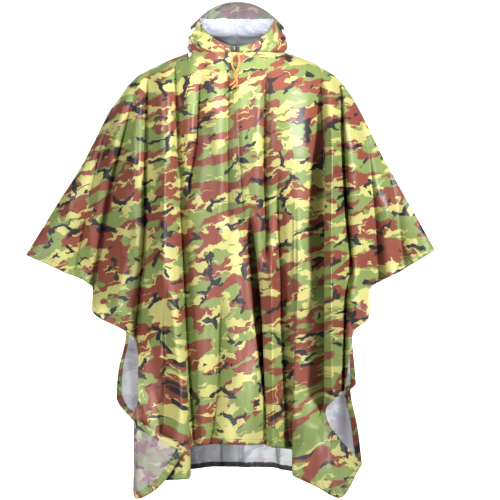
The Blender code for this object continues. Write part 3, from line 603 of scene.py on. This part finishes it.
# ---- the hood, hoop by hoop: half width, front y, side y, back y, front z, side z, back z
hood = {"columns": 84, "rows": 78, "casing": 0.0016, "gather": 0.0011, "gatherLength": 0.016, "lap": 0.014,
        "layerStep": 0.00045, "tuck": 0.0022, "allowance": 0.006, "crown": 0.011, "crownWidth": 0.07,
        "hoops": [
    (0.125, -0.1005, 0.000, 0.0885, 0.0148, 0.0211, 0.0183),  # seam
    (0.129, -0.1010, -0.001, 0.105, 0.0168, 0.0290, 0.0240),  # neck
    (0.131, -0.1015, -0.002, 0.140, 0.0185, 0.0380, 0.0020),  # pouch
    (0.131, -0.1015, -0.003, 0.164, 0.0200, 0.0470, 0.0100),  # pouch back
    (0.128, -0.1015, -0.006, 0.154, 0.0215, 0.0560, 0.0440),  # slack
    (0.123, -0.1014, -0.009, 0.098, 0.0228, 0.0660, 0.0660),  # crown
    (0.114, -0.1010, -0.013, 0.028, 0.0240, 0.0770, 0.0610),  # fold
    (0.104, -0.1006, -0.017, -0.003, 0.0252, 0.0900, 0.0760),  # band
    (0.0945, -0.1000, -0.020, -0.016, 0.0265, 0.1070, 0.1045),  # rim
]}
# creases of the slack hood: side, turn, rise, half length, half width, depth, lean of rise over turn
hoodCreases = [
    (-1, 1.10, 0.62, 0.55, 0.050, 0.0045, -0.10), (-1, 1.55, 0.45, 0.50, 0.045, -0.0040, 0.06),
    (-1, 0.70, 0.70, 0.30, 0.045, -0.0030, -0.20), (-1, 1.25, 0.80, 0.22, 0.040, 0.0030, -0.30),
    (1, 1.00, 0.55, 0.45, 0.045, 0.0045, 0.12), (1, 1.30, 0.66, 0.28, 0.032, -0.0045, 0.35),
    (1, 1.42, 0.78, 0.22, 0.028, 0.0050, 0.55), (1, 1.12, 0.76, 0.20, 0.026, 0.0035, 0.50),
    (1, 0.75, 0.72, 0.30, 0.040, -0.0030, -0.15), (1, 1.60, 0.42, 0.40, 0.045, -0.0045, -0.08),
    (-1, 2.30, 0.50, 0.50, 0.050, 0.0060, 0.05), (1, 2.40, 0.46, 0.45, 0.050, 0.0060, -0.06),
    (-1, 2.75, 0.62, 0.40, 0.045, -0.0050, 0.08), (1, 2.85, 0.60, 0.38, 0.045, -0.0045, 0.0),
]


def hoodHalf(name, side, finishes):
    columns, rows = round(hood["columns"] * hoodDensity), round(hood["rows"] * hoodDensity)
    past = hood["lap"] if side < 0 else -0.004  # the left half laps over the right at throat and nape
    turn, rise = np.meshgrid(np.linspace(-past, math.pi + past, columns + 1), np.linspace(1, 0, rows + 1))
    levels = np.linspace(0, 1, len(hood["hoops"]))
    rings = [hoopPoint(hoop, side * turn[0]) for hoop in hood["hoops"]]
    points = np.zeros(turn.shape + (3,))
    for i in range(columns + 1):
        for axis in range(3):
            points[:, i, axis] = smoothCurve(levels, [ring[i, axis] for ring in rings], rise[:, i])
    out = np.zeros_like(turn)
    for creaseSide, creaseTurn, creaseRise, halfLength, halfWidth, depth, lean in hoodCreases:
        if creaseSide == side:
            offLine = (rise - creaseRise - lean * (turn - creaseTurn)) / halfWidth
            out += depth * np.exp(-offLine ** 2) * np.exp(-((turn - creaseTurn) / halfLength) ** 4)
    atBack = ease(1.7, 2.2, turn)  # the crown bags inward over the neck, with one deep crease below it
    dip = rise - 0.60 - 0.035 * np.sin(turn * 5.0 + side) - 0.02 * np.sin(turn * 11.0)
    out -= hood["crown"] * atBack * np.exp(-(dip / hood["crownWidth"]) ** 2)
    maps = clothMaps(points, 0, 0)
    maps.update(u=maps["alongHem"] * side, v=-maps["alongSide"])
    along = maps["alongHem"]
    gather = np.sin(along * 2 * math.pi / hood["gatherLength"] + 1.5 * np.sin(along * 40))
    out += hood["gather"] * gather * np.exp(-((1 - rise) / 0.10) ** 2)
    out += hood["casing"] * np.exp(-((rise - 0.955) / 0.035) ** 2)
    out += crinkleDepth(maps["u"] * 1.7 + 0.3, maps["v"] * 1.7) * 0.55
    out *= ease(0.0, 0.10, rise) * ease(0.0, 0.10, turn) * ease(0.0, 0.10, math.pi - turn)
    out -= side * hood["layerStep"]
    outward = points - np.array([neck["centreX"], 0.0, 0.045])
    outward[..., 2] *= 0.4
    outward /= np.linalg.norm(outward, axis=-1, keepdims=True)
    points = points + outward * out[..., None]
    tucked = points[-1:] - outward[-1:] * hood["tuck"]  # seam allowance, inside the panels' top edge
    deeper = tucked - np.array([0, 0, hood["allowance"]])
    points = np.concatenate([points, tucked, deeper])
    maps = {key: np.concatenate([value, value[-1:], value[-1:]]) for key, value in maps.items()}
    return clothMesh(name, points, dict(maps, hem=maps["alongSide"]), ("hem",), (), side < 0, finishes)


peak = {"halfWidth": 0.122, "height": 0.068, "point": 2.0, "narrow": 0.9, "seamY": -0.0095, "lowZ": 0.084,
        "bow": 0.004, "thickness": 0.0014, "columns": 90, "rows": 22}


def hoodPeak(name, finishes):
    columns, rows = peak["columns"], peak["rows"]
    across, rise = np.meshgrid(np.linspace(0.03, 0.97, columns + 1), np.linspace(1, 0, rows + 1))
    swing = math.pi * (across - 0.5)
    aside = np.abs(np.sin(swing)) ** peak["narrow"] * np.sign(swing)
    x = neck["centreX"] + peak["halfWidth"] * aside
    edgeZ = peak["lowZ"] + peak["height"] * np.cos(swing) ** peak["point"]
    seam = np.stack([x, peak["seamY"] + 0.006 * np.abs(aside) ** 3, 0.098 - 0.022 * aside ** 4], axis=-1)
    edge = np.stack([x, 0.010 - 0.014 * aside ** 2, edgeZ], axis=-1)
    points = seam + (edge - seam) * rise[..., None]
    points[..., 1] -= peak["bow"] * np.sin(math.pi * rise)
    maps = clothMaps(points, 0, 0)
    maps["v"] = -maps["alongSide"]
    points[..., 1] += crinkleDepth(maps["u"] * 2 + 5, maps["v"] * 2) * 0.5
    hemMaps = dict(maps, hem=maps["alongSide"])
    return clothMesh(name, points, hemMaps, ("hem",), (), False, finishes, peak["thickness"])


# the tape lies over the cloth by "over" and hangs "under" below it; "ends" are shares of the hem
binding = {"under": 0.01008, "over": 0.004, "halfThickness": 0.0013, "around": 12, "ends": (0.06, 0.94)}


def hemBinding(name, backPoints, finish):
    first, last = (round(end * (backPoints.shape[1] - 1)) for end in binding["ends"])
    low, above = backPoints[-1, first:last + 1], backPoints[-3, first:last + 1]
    downward = (low - above) / np.linalg.norm(low - above, axis=-1, keepdims=True)
    alongHem = np.gradient(low, axis=0)
    alongHem /= np.linalg.norm(alongHem, axis=-1, keepdims=True)
    outward = np.cross(downward, alongHem)
    outward /= np.linalg.norm(outward, axis=-1, keepdims=True)
    middle, reach = (binding["under"] - binding["over"]) / 2, (binding["under"] + binding["over"]) / 2
    length = np.concatenate([[0], np.cumsum(np.linalg.norm(np.diff(low, axis=0), axis=-1))])

    def section(i, share):
        cosine, sine = math.cos(2 * math.pi * share), math.sin(2 * math.pi * share)
        rounder = math.copysign(abs(cosine) ** 0.7, cosine)
        raised = outward[i] * binding["halfThickness"] * sine
        return low[i] + downward[i] * (middle + reach * rounder) + raised, (length[i], reach * rounder)

    return closedTube(name, len(low) - 1, binding["around"], "cloth", section, finish)


# ---- finishes
class Wire:  # one socket of a material, so that shader maths can be written as Python expressions
    def __init__(self, finish, socket):
        self.finish, self.socket = finish, socket

    def __add__(self, other):
        return self.finish.maths("ADD", self, other)

    def __sub__(self, other):
        return self.finish.maths("SUBTRACT", self, other)

    def __mul__(self, other):
        return self.finish.maths("MULTIPLY", self, other)

    def __lt__(self, other):
        return self.finish.maths("LESS_THAN", self, other)


class Finish:
    def __init__(self, name, **constants):
        self.material = bpy.data.materials.new(name)
        self.material.use_nodes = True
        self.tree = self.material.node_tree
        self.shader = self.tree.nodes["Principled BSDF"]
        for socket, value in constants.items():
            self.shader.inputs[socket.replace("_", " ")].default_value = value

    def add(self, kind, settings, sockets, output=0):
        node = self.tree.nodes.new(kind)
        for name, value in settings.items():
            setattr(node, name, value)
        for name, value in sockets.items():
            self.give(node.inputs[name], value)
        return Wire(self, node.outputs[output])

    def give(self, socket, value):
        if isinstance(value, Wire):
            self.tree.links.new(value.socket, socket)
        elif socket.type == "RGBA" and len(value) == 3:
            socket.default_value = (*value, 1.0)
        else:
            socket.default_value = value

    def drive(self, **sockets):
        for name, value in sockets.items():
            self.give(self.shader.inputs[name.replace("_", " ")], value)
        return self.material

    def maths(self, operation, *values):
        return self.add("ShaderNodeMath", {"operation": operation}, dict(enumerate(values)))

    def place(self, uvMap):
        return self.add("ShaderNodeUVMap", {"uv_map": uvMap}, {})

    def split(self, place):  # its first two coordinates
        first = self.add("ShaderNodeSeparateXYZ", {}, {0: place})
        return first, Wire(self, self.tree.nodes[-1].outputs[1])

    def moved(self, place, scale=(1, 1, 1), shift=(0, 0, 0), turn=0.0):
        return self.add("ShaderNodeMapping", {}, {"Vector": place, "Scale": scale, "Location": shift,
                                                  "Rotation": (0, 0, turn)})

    def noise(self, place, scale, detail=2.0, roughness=0.5, distortion=0.0, output=0):
        return self.add("ShaderNodeTexNoise", {"noise_dimensions": "2D"},
                        {"Vector": place, "Scale": scale, "Detail": detail, "Roughness": roughness,
                         "Distortion": distortion}, output)

    def ribs(self, place, direction, pitch):
        return self.add("ShaderNodeTexWave", {"bands_direction": direction},
                        {"Vector": place, "Scale": 0.314 / pitch}, 1)

    def mixed(self, first, second, share, blend="MIX"):
        return self.add("ShaderNodeMix", {"data_type": "RGBA", "blend_type": blend},
                        {0: share, 6: first, 7: second}, 2)

    def eased(self, value, low, high, start=0.0, end=1.0):
        return self.add("ShaderNodeMapRange", {"interpolation_type": "SMOOTHSTEP"},
                        {"Value": value, "From Min": low, "From Max": high, "To Min": start, "To Max": end})

    def bump(self, height, distance, normal=None):
        sockets = {"Height": height, "Distance": distance, "Strength": 1.0}
        if normal:
            sockets["Normal"] = normal
        return self.add("ShaderNodeBump", {}, sockets)


# the print: its patches in the order they lie over the green ground, sizes as noise scales per metre
camouflage = {
    "bend": 0.010, "bendScale": 56.0, "wide": 0.46, "blackWide": 0.58,
    "brown": {"bend": 0.4, "scale": 22.5, "detail": 1.6, "over": 0.500, "tendril": 0.035,
              "shift": (3.1, 1.7, 0), "turn": -0.40},
    "yellow": {"bend": 1.0, "scale": 28.5, "detail": 1.5, "over": 0.596, "tendril": 0.110,
               "shift": (8.4, 5.2, 0), "turn": -0.30},
    "black": {"bend": 1.0, "scale": 24.0, "band": 0.10, "maskScale": 20.0, "maskOver": 0.495,
              "shift": (1.3, 9.6, 0), "turn": -0.5},
}


def printMasks(finish, place, soft):
    jitter = finish.noise(place, camouflage["bendScale"], 1.6, output="Color")
    offset = finish.add("ShaderNodeVectorMath", {"operation": "SUBTRACT"}, {0: jitter, 1: (0.5, 0.5, 0.5)})
    spots = {}
    for colour in ("brown", "yellow", "black"):
        patch = camouflage[colour]
        wide = camouflage["blackWide" if colour == "black" else "wide"]
        push = camouflage["bend"] * 2 * patch["bend"]
        pushed = finish.add("ShaderNodeVectorMath", {"operation": "SCALE"}, {0: offset, "Scale": push})
        bent = finish.add("ShaderNodeVectorMath", {"operation": "ADD"}, {0: place, 1: pushed})
        spots[colour] = finish.moved(finish.moved(bent, turn=patch["turn"]), (wide, 1, 1), patch["shift"])
    masks = []
    for colour in ("brown", "yellow"):
        patch, spot = camouflage[colour], spots[colour]
        field = finish.noise(spot, patch["scale"], patch["detail"], 0.52)
        line = finish.noise(finish.moved(spot, (1.2, 1.2, 1), (2.7, 4.9, 0)), patch["scale"], 1.0)
        offLine = finish.maths("ABSOLUTE", line - 0.5)
        # fingers reach out of a patch
        field = field + finish.eased(offLine, 0.012, 0.055, patch["tendril"], 0.0)
        masks.append(finish.eased(field, patch["over"] - soft, patch["over"] + soft))
    patch = camouflage["black"]
    twig = finish.add("ShaderNodeTexVoronoi", {"voronoi_dimensions": "2D", "feature": "DISTANCE_TO_EDGE"},
                      {"Vector": spots["black"], "Scale": patch["scale"]})
    thick = finish.noise(finish.moved(place, shift=(4.4, 2.2, 0)), patch["maskScale"], 1.5)
    reach = finish.eased(thick, patch["maskOver"], patch["maskOver"] + 0.14, -0.01, patch["band"])
    masks.append(finish.eased(reach - twig, -soft, soft))
    return masks


def printColour(finish, place, palette, soft):
    colour, *patches = (srgb(*shade) for shade in palettes[palette])
    for patch, mask in zip(patches, printMasks(finish, place, soft)):
        colour = finish.mixed(colour, patch, mask)
    return colour


def srgb(red, green, blue):
    return tuple((value / 255 / 12.92) if value <= 10 else ((value / 255 + 0.055) / 1.055) ** 2.4
                 for value in (red, green, blue))


# columns: green ground, brown, yellow, black
palettes = {
    "printed": ((126, 142, 82), (132, 70, 57), (192, 187, 116), (42, 41, 46)),
    "coated": ((152, 152, 136), (152, 124, 132), (182, 172, 156), (122, 104, 118)),
    # the back's inside: the coated side's print-through, painted lighter than the front's inside as painted
    # light against the shade it hangs in
    "paintedLightCoatedBack": ((190, 196, 197), (184, 180, 190), (204, 205, 206), (166, 164, 180)),
    "lining": ((164, 168, 178), (158, 160, 174), (176, 178, 184), (146, 150, 166)),
    # the peak's underside: partly the coated side's print-through, partly painted shade, far darker than
    # the other insides
    "peak": ((80, 88, 82), (92, 74, 80), (112, 118, 98), (56, 60, 60)),
}
weave = {"pitch": 0.0007, "height": 0.00006}
stitches = {"rows": (0.0022, 0.0138), "pitch": 0.0032, "length": 0.72, "width": 0.0006}


def stitchRows(finish):
    along, away = finish.split(finish.place("hem"))
    dash = finish.maths("FRACT", along * (1 / stitches["pitch"])) < stitches["length"]
    rows = [finish.maths("ABSOLUTE", away - distance) < stitches["width"] for distance in stitches["rows"]]
    row = finish.maths("MAXIMUM", *rows)
    return row * dash, row, away


def clothFinish(name, palette, shift=(0, 0, 0), coated=False, crease=0.0013, fine=0.12):
    sheen, sheenRoughness, soft = (0.08, 0.4, 0.030) if coated else (0.04, 0.35, 0.005)
    finish = Finish(name, Specular_IOR_Level=0.42, Sheen_Weight=sheen, Sheen_Roughness=sheenRoughness)
    place = finish.place("cloth")
    colour = printColour(finish, finish.moved(place, shift=shift), palette, soft)
    worn = finish.noise(place, 7.0, 3.0, 0.6)
    shade = finish.eased(worn, 0.3, 0.7, 0.90, 1.04)
    grey = finish.add("ShaderNodeCombineColor", {}, {0: shade, 1: shade, 2: shade})
    colour = finish.mixed(colour, grey, 1.0, "MULTIPLY")
    crinkled = finish.noise(finish.moved(place, (1, 0.55, 1)), 42.0, 3.0, 0.55, 0.4)
    normal = finish.bump(crinkled * 0.8 + finish.noise(place, 150.0) * fine, crease)
    threads = finish.ribs(place, "X", weave["pitch"]) * 0.5 + finish.ribs(place, "Y", weave["pitch"]) * 0.5
    normal = finish.bump(threads, weave["height"], normal)
    dash, row, away = stitchRows(finish)
    colour = finish.mixed(colour, srgb(150, 150, 145) if coated else srgb(96, 100, 62), dash * 0.75)
    turnedEdge = finish.eased(away, 0.0145, 0.0160)
    normal = finish.bump(turnedEdge * -0.5 + row * -0.7 + dash * 0.5, 0.0005, normal)
    roughness = finish.eased(worn, 0.3, 0.7, *((0.42, 0.56) if coated else (0.36, 0.47)))
    return finish.drive(Base_Color=colour, Roughness=roughness, Normal=normal)


def tapeFinish():
    finish = Finish("bindingTape", Specular_IOR_Level=0.35, Sheen_Weight=0.2)
    place = finish.place("cloth")
    rib = finish.ribs(place, "X", 0.0011)
    dust = finish.noise(place, 60, 3, 0.6)
    along, away = finish.split(place)
    seam = finish.maths("ABSOLUTE", away + 0.0035) < 0.0005
    dash = (finish.maths("FRACT", along * 330.0) < 0.7) * seam
    colour = finish.mixed(srgb(34, 34, 38), srgb(58, 58, 62), finish.eased(dust, 0.35, 0.75))
    colour = finish.mixed(colour, srgb(84, 84, 88), dash * 0.6)
    return finish.drive(Base_Color=colour, Roughness=finish.eased(dust, 0.3, 0.7, 0.62, 0.78),
                        Normal=finish.bump(rib * 0.4 + dash, 0.0003))


def plasticFinish():
    finish = Finish("lockPlastic", Specular_IOR_Level=0.4)
    place = finish.add("ShaderNodeTexCoord", {}, {}, 3)
    grain = finish.add("ShaderNodeTexNoise", {}, {"Vector": place, "Scale": 1800.0, "Detail": 2.0})
    wear = finish.add("ShaderNodeTexNoise", {}, {"Vector": place, "Scale": 160.0, "Detail": 3.0})
    colour = finish.mixed(srgb(9, 9, 11), srgb(22, 22, 24), finish.eased(wear, 0.5, 0.8))
    return finish.drive(Base_Color=colour, Roughness=finish.eased(wear, 0.3, 0.7, 0.30, 0.48),
                        Normal=finish.bump(grain, 0.00006))


braidTurns, braidStrands = 1150.0, 25.13  # radians to a metre along the cord, and once around it


def braidFinish():
    finish = Finish("drawcordBraid", Specular_IOR_Level=0.4, Sheen_Weight=0.25)
    place = finish.place("cord")
    along, around = finish.split(place)
    left, right = along * braidTurns + around * braidStrands, along * braidTurns - around * braidStrands
    left, right = finish.maths("SINE", left), finish.maths("SINE", right)
    strand = finish.maths("MAXIMUM", left, right)
    # random paler streaks along the cord, which also change its roughness
    paleStreaks = finish.noise(finish.moved(place, (60, 1, 1)), 5.0, 2.0)
    # painted shade and painted highlight: the orange is darker in the grooves between the strands and paler
    # on their crowns
    colour = finish.mixed(srgb(196, 104, 30), srgb(250, 158, 66), finish.eased(strand, -0.2, 0.9))
    colour = finish.mixed(colour, srgb(255, 190, 105), finish.eased(paleStreaks, 0.58, 0.75) * 0.5)
    return finish.drive(Base_Color=colour, Roughness=finish.eased(paleStreaks, 0.3, 0.7, 0.5, 0.68),
                        Normal=finish.bump(strand, 0.0004))


def smoothRoute(route, spacing):  # an even spacing on one smooth curve through the route's own points
    ends = [route[0]] + list(route) + [route[-1]]
    points = []
    for a, b, c, d in zip(ends, ends[1:], ends[2:], ends[3:]):
        a, b, c, d = Vector(a), Vector(b), Vector(c), Vector(d)
        for step in range(16):
            t = step / 16
            points.append(0.5 * (2 * b + (c - a) * t + (2 * a - 5 * b + 4 * c - d) * t ** 2
                                 + (3 * b - a - 3 * c + d) * t ** 3))
    points.append(Vector(route[-1]))
    even, walk = [points[0]], 0.0
    for before, after in zip(points, points[1:]):
        walk += (after - before).length
        if walk >= spacing:
            even.append(after)
            walk = 0.0
    even[-1] = points[-1]
    return even


def cordTube(name, route, finish):
    path = smoothRoute(route, drawcord["spacing"])
    steps = [(b - a).length for a, b in zip(path, path[1:])]
    walk = [0.0]
    for step in steps:
        walk.append(walk[-1] + step)
    last = len(path) - 1
    tangents = [(path[min(i + 1, last)] - path[max(i - 1, 0)]).normalized() for i in range(last + 1)]
    side = Vector((0, 1, 0)).cross(tangents[0]).normalized()
    frames = []
    for tangent in tangents:
        side = (side - tangent * side.dot(tangent)).normalized()
        frames.append((side.copy(), tangent.cross(side)))

    def section(i, share):
        first, second = frames[i]
        angle = 2 * math.pi * share
        fromEnd = min((walk[-1] - walk[i]) / drawcord["endLength"], 1.0)
        radius = drawcord["diameter"] / 2 * (drawcord["endShare"] + (1 - drawcord["endShare"]) * fromEnd)
        return path[i] + (first * math.cos(angle) + second * math.sin(angle)) * radius, (walk[i], share)

    return closedTube(name, last, drawcord["around"], "cord", section, finish), path, sum(steps)


printed = clothFinish("printedCloth", "printed")
printedBack = clothFinish("printedClothBack", "printed", shift=(4.2, 2.9, 0))
coated = clothFinish("coatedInside", "coated", coated=True)
# painted light: the back's inside gets a lighter copy of the coated inside's colours
paintedLightCoatedBack = clothFinish("paintedLightInsideBack", "paintedLightCoatedBack", shift=(4.2, 2.9, 0), coated=True)
printedHood = clothFinish("printedHood", "printed", shift=(1.9, 7.3, 0))
coatedHood = clothFinish("hoodLining", "lining", shift=(1.9, 7.3, 0), coated=True, crease=0.0070, fine=0.55)
# the side of the peak that faces forward, darkened with painted shade
paintedShadePeakFace = clothFinish("paintedShadePeakUnderside", "peak", shift=(6.1, 0.4, 0))
tape, plastic, braid = tapeFinish(), plasticFinish(), braidFinish()
print("poncho: finishes made")

left = frontPanel("leftFrontCloth", leftFront, [printed, coated, printed, printed])
right = frontPanel("rightFrontCloth", rightFront, [printed, coated, printed, printed])
back, backPoints = backPanel("backCloth", [printedBack, paintedLightCoatedBack, printedBack, printedBack])
print("poncho: panels made")
hoodLeft = hoodHalf("hoodLeftCloth", -1, [printedHood, coatedHood])
hoodRight = hoodHalf("hoodRightCloth", 1, [printedHood, coatedHood])
peakCloth = hoodPeak("peakCloth", [paintedShadePeakFace, printedHood])
print("poncho: hood made")
tapePiece = hemBinding("backHemTape", backPoints, tape)
leftCord, leftPath, leftLength = cordTube("drawcordLeftBraid", drawcord["left"], braid)
rightCord, rightPath, rightLength = cordTube("drawcordRightBraid", drawcord["right"], braid)
for node in ("cord_lock", "cord_lock_button"):
    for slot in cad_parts[node].material_slots:
        slot.material = plastic
print("poncho: trim made")

dressed = {
    "camouflage_cloth": {"front_left": left, "front_right": right, "back": back, "hood_left": hoodLeft,
                         "hood_right": hoodRight, "hood_peak": peakCloth},
    "binding_tape": {"back_hem_binding": tapePiece},
    "drawcord_braid": {"drawcord_left": leftCord, "drawcord_right": rightCord},
}
for slotName, pieces in dressed.items():
    for node, piece in pieces.items():
        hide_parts(node)
        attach(piece, "root")

studio = {
    "floorZ": -2.3, "wallY": 9.0, "bend": 1.8, "front": -14.0, "halfWidth": 13.0,
    "world": (0.90, 0.95, 1.0), "worldStrength": 0.035,
    # place, aim, width, height, power, spread in degrees
    "lights": {
        "key": ((3.8, -3.6, 1.1), (0.08, 0.0, -0.22), 0.7, 1.1, 27, 42),
        "fill": ((-3.7, -3.4, 1.1), (0.0, 0.0, -0.35), 0.8, 1.2, 12, 48),
        "top": ((0.0, -0.6, 2.6), (0.0, 0.2, -0.2), 1.8, 1.4, 6, 90),
        "neck": ((-0.2, -4.4, -0.35), (0.0, 0.0, 0.07), 0.3, 0.3, 0.8, 7),
        "low": ((-1.9, -4.4, -1.1), (-0.15, 0.1, -0.85), 0.6, 0.5, 1.1, 17),
        "rear": ((-1.9, 4.8, 1.2), (0.0, 0.0, -0.4), 1.2, 1.8, 30, 56),
        "wallLeft": ((-2.8, 6.3, 2.0), (-1.0, 9.0, -0.6), 2.0, 2.8, 170, 120),
        "wallRight": ((2.8, 6.3, 2.0), (1.0, 9.0, -0.6), 2.0, 2.8, 170, 120),
    },
}


def makeStudio():
    shape = bmesh.new()
    bmesh.ops.create_grid(shape, x_segments=1, y_segments=28, size=1.0)
    wallStart = studio["wallY"] - studio["bend"]
    flat = wallStart - studio["front"]
    for vert in shape.verts:
        share = (vert.co.y + 1) / 2
        x = vert.co.x * studio["halfWidth"]
        if share <= 0.25:
            vert.co = (x, studio["front"] + flat * share / 0.25, studio["floorZ"])
        elif share <= 0.75:
            angle = math.pi / 2 * (share - 0.25) / 0.5
            vert.co = (x, wallStart + studio["bend"] * math.sin(angle),
                       studio["floorZ"] + studio["bend"] * (1 - math.cos(angle)))
        else:
            vert.co = (x, studio["wallY"], studio["floorZ"] + studio["bend"] + 5.0 * (share - 0.75) / 0.25)
    finish = Finish("paleSweep", Roughness=0.95, Specular_IOR_Level=0.1)
    place = finish.add("ShaderNodeTexCoord", {}, {}, 3)
    dust = finish.add("ShaderNodeTexNoise", {}, {"Vector": place, "Scale": 0.8, "Detail": 2.0})
    finish.drive(Base_Color=finish.mixed((0.93, 0.93, 0.93), (0.96, 0.96, 0.96), dust))
    sweep = finishMesh("sweep", shape, [finish.material])
    world = bpy.data.worlds.new("studio")
    bpy.context.scene.world = world
    world.use_nodes = True
    sky = world.node_tree.nodes["Background"]
    sky.inputs["Color"].default_value = (*studio["world"], 1.0)
    sky.inputs["Strength"].default_value = studio["worldStrength"]
    for name, (place, aim, width, height, power, spreadAngle) in studio["lights"].items():
        lamp = bpy.data.lights.new(name, "AREA")
        lamp.shape, lamp.size, lamp.size_y, lamp.energy = "RECTANGLE", width, height, power
        lamp.spread = math.radians(spreadAngle)
        turn = (Vector(aim) - Vector(place)).to_track_quat("-Z", "Y").to_euler()
        putInScene(name, lamp, place, turn)
    bpy.context.scene.view_settings.view_transform = "Standard"


makeStudio()
print("poncho: studio made")
